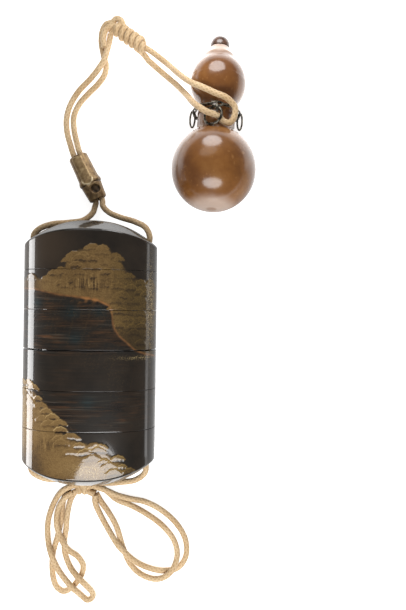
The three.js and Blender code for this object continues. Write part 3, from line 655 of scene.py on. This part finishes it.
gold_colour = lacquer.mix(lacquer.maths("MULTIPLY", olive, 0.8), gold_colour, (0.86, 0.95, 0.80), "MULTIPLY")
surface = lacquer.mix(gold, ground, gold_colour)
surface = lacquer.mix(shore_line, surface, (0.27, 0.118, 0.036))
glints = lacquer.grain(3300, 0.55, 0.64, detail=1)
# Bright gold specks: real flakes, and painted glints on the narrow sides.
surface = lacquer.mix(lacquer.maths("MULTIPLY", glints, flake_and_glint_mask), surface, (0.60, 0.45, 0.21))
lacquer.bump(lacquer.maths("MULTIPLY", powder, gold), 0.05 * MM, 0.35)
lacquer.finish({
    "Base Color": surface, "Metallic": lacquer.maths("MULTIPLY", gold, 0.15),
    "Roughness": lacquer.maths("ADD", lacquer.maths("MULTIPLY", gold, 0.25), 0.35),
    "Specular IOR Level": 0.08, "Coat Weight": 1.0, "Coat Roughness": 0.06, "Coat IOR": 1.5,
})


def outside_rows(low, high, low_rounded=True, high_rounded=True):
    """Rows of the outside between two edges, which are heights or arrays of them: even steps, and a
    quarter circle of four steps at a rounded edge. Gives the height and the inset of each row."""
    quarter = np.radians([0, 25, 50, 72])
    count = max(int(np.max(high - low) / ROW_STEP), 6)
    share = np.linspace(0, 1, count + 1)[:, None]
    start = low + RIM_ROUNDING if low_rounded else low
    stop = high - RIM_ROUNDING if high_rounded else high
    rows = [start + (stop - start) * share]
    insets = [np.zeros((count + 1, 1))]
    if low_rounded:
        rows.insert(0, low + RIM_ROUNDING * (1 - np.cos(quarter))[:, None])
        insets.insert(0, RIM_ROUNDING * (1 - np.sin(quarter))[:, None])
    if high_rounded:
        rows.append(high - RIM_ROUNDING * (1 - np.cos(quarter[::-1]))[:, None])
        insets.append(RIM_ROUNDING * (1 - np.sin(quarter[::-1]))[:, None])
    heights = np.vstack([np.broadcast_to(row, (len(row), COLUMNS)) for row in rows])
    return heights, np.vstack(insets)


def painted_side(heights, insets):
    """The outside of a section: the oval pulled in by the inset of its edges and raised by the
    picture's relief along its normal, with the picture's masks."""
    x, z = oval(OUTSIDE)
    base = np.stack([np.broadcast_to(x, heights.shape), heights, np.broadcast_to(z, heights.shape) + AXIS_HEIGHT], -1)
    across = np.broadcast_to(face_across, heights.shape) / MM
    tags, lift = picture(across, heights / MM)
    near_edge = step_up(-insets, -0.05 * MM, 0)
    resting = step_up(base[..., 2], 0.2 * MM, 1.2 * MM)
    move = lift * near_edge * resting - insets
    return base + move[..., None] * outwards[None], tags


def plain(grid):
    """A mask for rows without a picture."""
    return grey(np.zeros(grid.shape[:2]))


def pitted(grid, end):
    """The cord's two openings: near a channel's axis the surface sinks into the channel."""
    for side in (-1, 1):
        away = np.hypot(grid[..., 0] - side * CHANNEL_PLACE, grid[..., 2] - AXIS_HEIGHT)
        sink = step_up(-away, -CHANNEL_RADIUS, -CHANNEL_RADIUS + 0.35 * MM)
        grid[..., 1] -= end * CHANNEL_PIT * sink
    return grid


def dome_rows(end):
    """The domed end from its rim to its crown: the oval shrunk by a scale from 1 to 0, at the
    height of the dome there, after a rounding from the side."""
    scales = np.concatenate([[0.998, 0.992, 0.984], np.linspace(0.975, 0, 62)])
    drops = np.concatenate([[0.30, 0.14, 0.05], np.zeros(62)]) * MM
    rows = []
    for scale, drop in zip(scales, drops):
        x, z = oval(OUTSIDE, scale)
        rows.append(np.stack([x, end * (end_height(x, z) - drop), z + AXIS_HEIGHT], -1))
    return pitted(np.stack(rows), end)


def inner_dome(end):
    rows = []
    for scale in np.linspace(0, 1, 14):
        x, z = oval(CAVITY, scale)
        rows.append(np.stack([x, end * (end_height(x, z) - END_WALL), z + AXIS_HEIGHT], -1))
    return np.stack(rows)


def stacked(name, before, side_rows, after):
    """A section as one closed shell: rows of its inside, of its painted outside, and the rest."""
    outside, tags = painted_side(*side_rows)
    grid = np.vstack([before, outside, after])
    tags = {tag: np.vstack([plain(before), values, plain(after)]) for tag, values in tags.items()}
    piece = make_piece(f"lacquer_{name}", [patch(grid, around=True, tags=tags)], sharp=40)
    case_pieces.objects.link(piece)
    return fitted(piece, lacquer, name)


def seam(index):
    return MIDDLE_SEAM + SECTION_PITCH * index


def half_gap(index):
    return (OPEN_SEAM_GAP if index == 0 else SEAM_GAP) / 2


side_top = end_height(front_x, front_z) - 0.5 * MM
rim = seam(2) + half_gap(2)
stacked(
    "lid",
    np.vstack([
        inner_dome(1), [ring(CAVITY, rim + RECESS_DEPTH)], [ring(RECESS, rim + RECESS_DEPTH)], [ring(RECESS, rim)],
    ]),
    outside_rows(rim, side_top, high_rounded=False),
    dome_rows(1),
)
for number, index in enumerate((1, 0, -1, -2), start=1):
    low, high = seam(index) + half_gap(index), seam(index + 1) - half_gap(index + 1)
    floor = low + RECESS_DEPTH
    stacked(
        f"case_{number}",
        np.stack([ring(RECESS, floor, 0.0), ring(RECESS, floor), ring(RECESS, low)]),
        outside_rows(low, high),
        np.stack([
            ring(RISER, high), ring(RISER, high + RISER_HEIGHT), ring(CAVITY, high + RISER_HEIGHT),
            ring(CAVITY, floor + FLOOR), ring(CAVITY, floor + FLOOR, 0.0),
        ]),
    )
brim = seam(-2) - half_gap(-2)
stacked(
    "bottom_case",
    dome_rows(-1)[::-1],
    outside_rows(-side_top, brim, low_rounded=False),
    np.vstack([
        [ring(RISER, brim)], [ring(RISER, brim + RISER_HEIGHT)], [ring(CAVITY, brim + RISER_HEIGHT)],
        inner_dome(-1)[::-1],
    ]),
)

# ---- the two knots ----
# Both are tied in the cord itself: turns laid side by side round the strands they hold. The knot at
# the toggle is a long plaited one that ends in a button, the other gathers the bow's four loops.

BOW_KNOT = ((-6.2, -51.3, 2.6), (-1.0, -51.3, 2.6))
TOGGLE_KNOT = ((5.8, 119.4, 3.2), (18.8, 110.9, 3.2))


def wrapped(ends, turns, reach, pitch, lean, start=1.0, squash=1.0):
    """Turns round a straight line: a helix whose points also lean along the line by a cosine, so
    that each turn lies slanting. Gives its points and the line's direction."""
    first, last = np.array(ends[0]), np.array(ends[1])
    along = unit(last - first)
    level = unit(np.cross(along, (0, 0, 1)))
    up = np.cross(level, along)
    angle = np.linspace(0, 2 * np.pi * turns, int(turns * 12) + 1)[:, None]
    way = start + pitch * angle / (2 * np.pi) + lean * np.cos(angle + 0.6)
    return first + way * along + reach * (np.cos(angle) * level + squash * np.sin(angle) * up), along


def knot_piece(name, strands):
    """One piece from plaited tubes, each given by its points in millimetres and a reference."""
    patches = [tube(metres(points), reference=reference)[0] for points, reference in strands]
    return fitted(make_piece(f"silk_{name}", patches), silk, name)


turns_at_toggle, toggle_line = wrapped(TOGGLE_KNOT, 5.3, 1.95, 2.25, 0.75, start=1.2)
button, button_line = wrapped(((17.6, 110.6, 3.9), (17.6, 110.6, 6.9)), 1.35, 1.05, 1.5, 0.0, start=0.2)
toggle_knot = knot_piece("toggle_knot", [
    (turns_at_toggle, toggle_line),
    ([(3.9, 118, 1.6), (5.4, 119.2, 2.6), (10, 116.6, 3.2), (15.2, 113.2, 3.2), (19.7, 110.5, 3.1)], (0, 0, 1)),
    ([(4.7, 121.2, 3.1), (6.4, 122.1, 4.2), (8.2, 121.2, 4.9), (9.2, 119, 4.6)], (0, 0, 1)),
    ([(1.9, 112, 3.2), (1.5, 115.6, 3.3), (2.6, 118.7, 3.4), (5.2, 119.9, 3.6), (7.6, 118.6, 3.8)], (0, 0, 1)),
    ([(17.8, 108.5, 1.4), (16.2, 110.2, 2.0), (13.5, 112.4, 2.4)], (0, 0, 1)),
    (button, button_line),
])
turns_at_bow, bow_line = wrapped(BOW_KNOT, 1.9, 1.35, 2.1, 0.35, start=0.7)
bow_knot = knot_piece("bow_knot", [
    (turns_at_bow, bow_line),
    ([(-6.9, -49.8, 4), (-5, -50.4, 3.6), (-3.6, -51.2, 3.1), (-1.8, -50.6, 3.4), (-0.4, -50.1, 3.6)], (0, 0, 1)),
    ([(-7.2, -50.4, 1.2), (-5, -51.2, 1.5), (-3, -51.4, 1.6), (-0.4, -50.2, 1.2)], (0, 0, 1)),
    ([(-7.2, -52.6, 3.7), (-5, -52, 3.3), (-2.4, -52.2, 3.3), (0.6, -53.2, 3.6)], (0, 0, 1)),
    ([(-6.9, -52.9, 1.2), (-4.6, -52.4, 1.4), (-2.2, -52.4, 1.4), (0.8, -53.4, 1.2)], (0, 0, 1)),
    ([(-5.2, -47.9, 4.4), (-4.2, -49, 4.3), (-3.4, -50.6, 3.9)], (0, 0, 1)),
    ([(-2.2, -48, 4.4), (-2.8, -49.2, 4.3), (-3.2, -50.8, 3.9)], (0, 0, 1)),
])

# ---- the bead ----
# A cast brass bead in the shape of a length of bamboo with one swollen joint. A tongue with a bright
# lip stands on its front over a hollow, and both strands of the cord go through its bore.

BEAD_TOP, BEAD_BOTTOM = np.array([-7.3, 71.3, 3.5]) * MM, np.array([0.5, 55.7, 3.5]) * MM
BEAD_PROFILE = [
    (0, 3.3), (0.25, 3.5), (6, 3.62), (9.2, 3.78), (10.1, 4.12), (10.6, 4.2), (11.2, 4.08), (12.2, 3.75),
    (17, 3.28), (17.3, 3.2), (17.44, 3.02),
]
BEAD_FLATNESS = 0.83
BEAD_FACETS = 10
TONGUE_HALF_WIDTH, TONGUE_LENGTH, TONGUE_RISE = 2.0, 11.8, 0.42
HOLLOW_PLACE, HOLLOW_RADIUS, HOLLOW_DEPTH = (-1.0, 13.9), 1.9, 1.1
BORE_HALF_WIDTH, BORE_RADIUS = 1.2, 1.35

bead_length = BEAD_PROFILE[-1][0]
places = np.concatenate([np.linspace(0, 0.5, 8), np.linspace(0.6, 16.9, 130), np.linspace(17, bead_length, 10)])
turn = np.linspace(0, 2 * np.pi, 160, endpoint=False)[None, :]
facet = np.pi / BEAD_FACETS
fold = np.cos(facet) / np.cos((turn + facet) % (2 * facet) - facet)
bead_radius = heights_of(BEAD_PROFILE, places)[:, None] * (0.35 + 0.65 * fold) * 1.01
across, front = bead_radius * np.sin(turn), BEAD_FLATNESS * bead_radius * np.cos(turn)
along = np.broadcast_to(places[:, None], across.shape)
# The tongue is a strip with a round end; its edge distance is negative inside it.
past_end = np.maximum(along - (TONGUE_LENGTH - TONGUE_HALF_WIDTH), 0)
tongue_edge = np.hypot(across - 0.3, past_end) - TONGUE_HALF_WIDTH
tongue = step_up(-tongue_edge, -0.12, 0.12) * (front > 0) * step_up(along, 0.4, 0.8)
lip = np.exp(-((tongue_edge / 0.28) ** 2)) * (front > 0) * step_up(along, 8.8, 10.2)
hollow_away = np.hypot(across - HOLLOW_PLACE[0], along - HOLLOW_PLACE[1]) / HOLLOW_RADIUS
hollow = step_up(-hollow_away, -1.0, -0.55) * (front > 0) * (1 - tongue)
nodes_line = np.exp(-(((along - 11.5) / 0.22) ** 2)) * (1 - tongue)
hammered = ripple(turn * 3.4 + 0 * along, along, 12, 5)
front = front + TONGUE_RISE * tongue + 0.25 * lip - HOLLOW_DEPTH * hollow
pull = 1 - 0.05 * nodes_line + 0.006 * hammered
outer = np.stack([across * pull, along, front * pull], -1)
bore = np.stack([
    BORE_HALF_WIDTH * np.sign(np.sin(turn)) + BORE_RADIUS * np.sin(turn), 0 * turn, BORE_RADIUS * np.cos(turn),
], -1)
bore_bottom, bore_top = bore + (0, bead_length, 0), bore
bead_grid = np.vstack([outer, bore_bottom, bore_top, outer[:1]])
bead_along = unit(BEAD_BOTTOM - BEAD_TOP)
bead_across = unit(np.cross(bead_along, (0, 0, 1)))
bead_front = np.cross(bead_across, bead_along)
bead_grid = BEAD_TOP + MM * (
    bead_grid[..., :1] * bead_across + bead_grid[..., 1:2] * bead_along + bead_grid[..., 2:] * bead_front
)
bright = np.clip(0.45 + 0.5 * lip + 0.12 * tongue - 0.45 * hollow - 0.4 * nodes_line + 0.1 * hammered, 0, 1)
dull = np.full((1, turn.shape[1]), 0.15)
bead = make_piece(
    "brass_bead",
    [patch(bead_grid, around=True, tags={"patina": grey(np.vstack([bright, dull, dull, bright[:1]]))})],
    sharp=50,
)
brass = Finish("antique_brass")
patina, _, _ = brass.masks("patina")
spots = brass.grain(700, 0.3, 0.7)
worn = brass.maths("ADD", patina, brass.maths("MULTIPLY", brass.maths("SUBTRACT", spots, 0.5), 0.30))
brass.bump(brass.grain(1500, detail=3), 0.08 * MM, 0.4)
brass.finish({
    "Base Color": brass.ramp(
        worn, (0.0, (0.030, 0.018, 0.009)), (1.0, (0.80, 0.68, 0.46)), (0.35, (0.145, 0.088, 0.040)),
        (0.6, (0.30, 0.20, 0.095)), (0.8, (0.46, 0.34, 0.18)),
    ),
    "Metallic": 0.55, "Roughness": brass.maths("ADD", brass.maths("MULTIPLY", spots, 0.2), 0.30),
})
fitted(bead, brass, "bead")

# ---- the gourd and its stopper ----
# A small dried gourd, hollow, its skin varnished to a deep gloss, with a turned wooden stopper whose
# plug goes down the neck. It lies on its two bulbs.

LOWER_CENTRE, LOWER_RADIUS = np.array([42.7, 64.8, 14.78]), 14.9
UPPER_CENTRE, UPPER_RADIUS = np.array([44, 96.9, 9.88]), 10.0
WAIST_RADIUS, NECK_RADIUS, NECK_LENGTH, MOUTH_RADIUS, GOURD_WALL = 6.75, 3.6, 13.3, 2.0, 2.0
STOPPER_RADIUS, STOPPER_HEIGHT, PLUG_RADIUS, PLUG_LENGTH = 3.5, 4.1, 1.65, 7.0
NECK_FLARE, MERGE_POWER = 1.5, 7.0
# The painted reflections at the gourd's two ends: where the one on the neck fades in, and how far the one round the
# foot spreads, in degrees, around the darker scar.
NECK_REFLECTION_SPAN = (40.2, 43.0)  # distances from the lower bulb's middle
FOOT_DIRECTION, FOOT_REFLECTION_SPREAD, SCAR = (-0.04, -0.975, 0.22), (20, 38), (5.5, 7.5)  # the last two in degrees
BULB_DISTANCE = float(np.linalg.norm(UPPER_CENTRE - LOWER_CENTRE))
gourd_along = unit(UPPER_CENTRE - LOWER_CENTRE)
gourd_across = unit(np.cross(gourd_along, (0, 0, 1)))
gourd_front = np.cross(gourd_across, gourd_along)


def gourd_radius(height, shrink=0.0):
    """The p-th root of the sum of p-th powers of two circles and a stem, which leaves soft hollows
    where they meet. The stem is the waist, then the neck, which flares towards the bulb."""
    bulb = lambda middle, radius: np.sqrt(np.maximum((radius - shrink) ** 2 - (height - middle) ** 2, 0))
    flare = NECK_FLARE * np.clip((BULB_DISTANCE + NECK_LENGTH - height) / (NECK_LENGTH - UPPER_RADIUS), 0, 1) ** 1.6
    stem = np.where(height < BULB_DISTANCE, WAIST_RADIUS, NECK_RADIUS + flare) - shrink
    stem = stem * step_up(height, -LOWER_RADIUS, -LOWER_RADIUS + 14)
    circles = bulb(0, LOWER_RADIUS) ** MERGE_POWER + bulb(BULB_DISTANCE, UPPER_RADIUS) ** MERGE_POWER
    return (circles + stem**MERGE_POWER) ** (1 / MERGE_POWER)


def turned_body(heights, radii, columns=144, uneven=0.0):
    """A turned shape about the gourd's axis: rows of circles, a little uneven by a few sine waves."""
    angle = np.linspace(0, 2 * np.pi, columns, endpoint=False)[None, :]
    h, r = np.asarray(heights)[:, None], np.asarray(radii)[:, None]
    swell = 1 - uneven * (0.5 + 0.25 * np.sin(3 * angle + h / 9) + 0.25 * np.sin(5 * angle - h / 6 + 1))
    r = r * swell
    place = r[..., None] * (np.sin(angle)[..., None] * gourd_across + np.cos(angle)[..., None] * gourd_front)
    return MM * (LOWER_CENTRE + (h + 0 * angle)[..., None] * gourd_along + place)


mouth = BULB_DISTANCE + NECK_LENGTH
low_turn = np.linspace(-np.pi / 2, np.radians(40), 60)
outer_heights = np.concatenate([LOWER_RADIUS * np.sin(low_turn), np.linspace(9.9, mouth - 0.3, 110)])
outer_radii = np.concatenate([LOWER_RADIUS * np.cos(low_turn), gourd_radius(outer_heights[60:])])
neck_blend = step_up(outer_heights, BULB_DISTANCE + 7.5, BULB_DISTANCE + 9.5)
neck_blend *= step_up(-outer_heights, -mouth + 0.3, -BULB_DISTANCE - 9.2)
outer_radii = outer_radii + 0.45 * neck_blend
inner_turn = np.linspace(-np.pi / 2, np.radians(40), 24)
inner_heights = np.concatenate([
    (LOWER_RADIUS - GOURD_WALL) * np.sin(inner_turn), np.linspace(9, BULB_DISTANCE + 7.6, 40), [mouth],
])
inner_radii = np.concatenate([
    (LOWER_RADIUS - GOURD_WALL) * np.cos(inner_turn), np.maximum(gourd_radius(inner_heights[24:-1], GOURD_WALL), MOUTH_RADIUS),
    [MOUTH_RADIUS],
])
shell = np.vstack([
    turned_body(outer_heights, outer_radii, uneven=0.008),
    turned_body([mouth], [NECK_RADIUS - 0.3]),
    turned_body(inner_heights[::-1], inner_radii[::-1]),
])
shell[..., 2] = np.maximum(shell[..., 2], 0)
# Painted reflections: the skin is painted pale at the neck and round the small scar at the foot, for the studio light
# reflected at the gourd's two ends; the scar itself is left darker.
level = np.einsum("rck,k->rc", shell / MM - LOWER_CENTRE, gourd_along)
facing = unit(shell / MM - LOWER_CENTRE) @ unit(np.array(FOOT_DIRECTION))
from_scar = np.degrees(np.arccos(np.clip(facing, -1, 1))) + 1.5 * ripple(shell[..., 0] / MM, shell[..., 2] / MM, 9, 7)
painted_foot_reflection = 0.55 * (1 - step_up(from_scar, *FOOT_REFLECTION_SPREAD)) * (1 - 0.6 * (1 - step_up(from_scar, *SCAR)))
painted_end_reflection = np.clip(0.6 * step_up(level, *NECK_REFLECTION_SPAN) + painted_foot_reflection, 0, 1)
gourd = make_piece("gourd_shell", [patch(shell, around=True, tags={"painted_end_reflection": grey(painted_end_reflection)})], sharp=50)
skin = Finish("varnished_gourd")
end_reflection_mask, _, _ = skin.masks("painted_end_reflection")
mottle = skin.grain(75, 0.34, 0.66, detail=5, coarseness=0.6)
skin_colour = skin.ramp(mottle, (0, (0.140, 0.050, 0.011)), (0.55, (0.235, 0.092, 0.020)), (1, (0.300, 0.132, 0.032)))
shadowed = skin.grain(28, 0.40, 0.62, detail=2)
skin_colour = skin.mix(skin.maths("MULTIPLY", shadowed, 0.5), skin_colour, (0.092, 0.032, 0.010))
fleck = skin.grain(620, 0.64, 0.74, stretch=(1, 0.6, 1), detail=2)
skin_colour = skin.mix(skin.maths("MULTIPLY", fleck, 0.4), skin_colour, (0.36, 0.17, 0.055))
# Painted reflection: pale pinkish skin at the neck and round the foot.
skin_colour = skin.mix(end_reflection_mask, skin_colour, (0.66, 0.53, 0.45))
skin.bump(mottle, 0.12 * MM, 0.2)
skin.finish({
    "Base Color": skin_colour, "Roughness": skin.maths("ADD", skin.maths("MULTIPLY", mottle, 0.12), 0.42),
    "Specular IOR Level": 0.1, "Coat Weight": 1.0, "Coat Roughness": 0.17, "Coat IOR": 1.5,
})
gourd = fitted(gourd, skin, "gourd")

seat = mouth + 0.3
cap_turn = np.linspace(0, np.pi / 2, 30)
stopper_heights = [
    seat - PLUG_LENGTH, seat - PLUG_LENGTH, seat - 0.05, seat, seat, seat + 0.1, seat + 0.35,
    *(seat + 0.8 + (STOPPER_HEIGHT - 0.8) * np.sin(cap_turn)),
]
stopper_radii = [
    0, PLUG_RADIUS, PLUG_RADIUS, PLUG_RADIUS + 0.1, STOPPER_RADIUS - 0.25, STOPPER_RADIUS - 0.1, STOPPER_RADIUS - 0.05,
    *(STOPPER_RADIUS * np.cos(cap_turn) ** 0.9),
]
stopper = make_piece("wood_stopper", [patch(turned_body(stopper_heights, stopper_radii, columns=96), around=True)], sharp=40)
wood = Finish("dark_turned_wood")
wood_grain = wood.grain(1.0, 0.35, 0.7, stretch=(900, 160, 900))
wood.finish({
    "Base Color": wood.ramp(wood_grain, (0, (0.030, 0.013, 0.008)), (1, (0.130, 0.062, 0.036))),
    "Roughness": wood.maths("ADD", wood.maths("MULTIPLY", wood_grain, 0.2), 0.25),
    "Coat Weight": 0.6, "Coat Roughness": 0.12,
})
fitted(stopper, wood, "stopper")

# ---- the chain and the ring ----
# A fine chain of bent iron wire goes twice round the gourd's waist, with a longer loop standing off
# at each side, and a ring hangs on it, through which the cord is passed.

CHAIN_ALONG, CHAIN_RADIUS, CHAIN_LINKS = 20.6, 7.95, 14
LINK_HALF_LENGTH, LINK_HALF_WIDTH, WIRE_RADIUS = 2.05, 0.72, 0.34
RING_CENTRE, RING_RADIUS, RING_WIRE, RING_YAW, RING_TILT = (42.2, 81.8, 21.2), 3.2, 0.45, -0.42, 0.52


def wire_loop(centre, long_axis, wide_axis, half_length, half_width, wire, steps=40):
    """An oval loop of round wire: its line is centre + half length times cos on one axis + half
    width times sin on the other; the wire is a circle between the line's normal and its plane's."""
    t = np.linspace(0, 2 * np.pi, steps + 1)[:, None]
    long_axis, wide_axis = unit(np.asarray(long_axis, float)), unit(np.asarray(wide_axis, float))
    line = np.asarray(centre) + half_length * np.cos(t) * long_axis + half_width * np.sin(t) * wide_axis
    forward = unit(-half_length * np.sin(t) * long_axis + half_width * np.cos(t) * wide_axis)
    square = unit(np.cross(long_axis, wide_axis))
    side = np.cross(forward, square)
    angle = np.linspace(0, 2 * np.pi, 10, endpoint=False)[None, :, None]
    return patch(MM * (line[:, None] + wire * (np.cos(angle) * side[:, None] + np.sin(angle) * square)), around=True)


links_of_chain = []
waist_centre = LOWER_CENTRE + CHAIN_ALONG * gourd_along
for index in range(CHAIN_LINKS):
    angle = 2 * np.pi * index / CHAIN_LINKS
    out = np.sin(angle) * gourd_across + np.cos(angle) * gourd_front
    tangent = np.cos(angle) * gourd_across - np.sin(angle) * gourd_front
    wide = gourd_along if index % 2 == 0 else out
    half_width = LINK_HALF_WIDTH if index % 2 == 0 else 0.5
    links_of_chain.append(
        wire_loop(waist_centre + CHAIN_RADIUS * out, tangent, wide, LINK_HALF_LENGTH, half_width, WIRE_RADIUS)
    )
for side in (-1, 1):
    centre = waist_centre - 2.4 * gourd_along + side * 8.4 * gourd_across
    links_of_chain.append(wire_loop(centre, gourd_along, gourd_across, 3.1, 0.85, WIRE_RADIUS))
hanging_from, hanging_to = np.array([43.5, 82.9, 22.4]), np.array([43.5, 87.1, 19.6])
hanging_along = unit(hanging_to - hanging_from)
links_of_chain.append(
    wire_loop((hanging_from + hanging_to) / 2, hanging_along, np.cross(hanging_along, (1, 0, 0)), 2.2, 1.2, WIRE_RADIUS)
)
chain = make_piece("iron_chain", links_of_chain)
ring_across = np.array([
    np.cos(RING_YAW) * np.cos(RING_TILT), np.sin(RING_YAW) * np.cos(RING_TILT), np.sin(RING_TILT),
])
ring_along = np.array([-np.sin(RING_YAW), np.cos(RING_YAW), 0])
cord_ring = make_piece(
    "iron_ring", [wire_loop(RING_CENTRE, ring_across, ring_along, RING_RADIUS, RING_RADIUS, RING_WIRE, steps=64)]
)
iron = Finish("dark_iron_wire")
rubbed = iron.grain(900, 0.4, 0.75, detail=3)
iron.finish({
    "Base Color": iron.ramp(rubbed, (0, (0.030, 0.026, 0.020)), (1, (0.240, 0.215, 0.170))), "Metallic": 0.85,
    "Roughness": iron.maths("ADD", iron.maths("MULTIPLY", rubbed, 0.25), 0.22),
})
fitted(chain, iron, "waist_chain")
fitted(cord_ring, iron, "cord_ring")

toggle_pieces = [toggle_knot, gourd, stopper, chain, cord_ring]
pieces_on_cord = {"cord_left": [bow_knot, bead], "cord_toggle_loop": toggle_pieces}
for name, piece in cords.items():
    line = cord_lines[name]
    run = float(np.linalg.norm(np.diff(line, axis=0), axis=1).sum())
    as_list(pieces_on_cord.get(name, []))

low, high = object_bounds()
{"cad": [list(cad_low), list(cad_high)], "visual": [list(low), list(high)]}
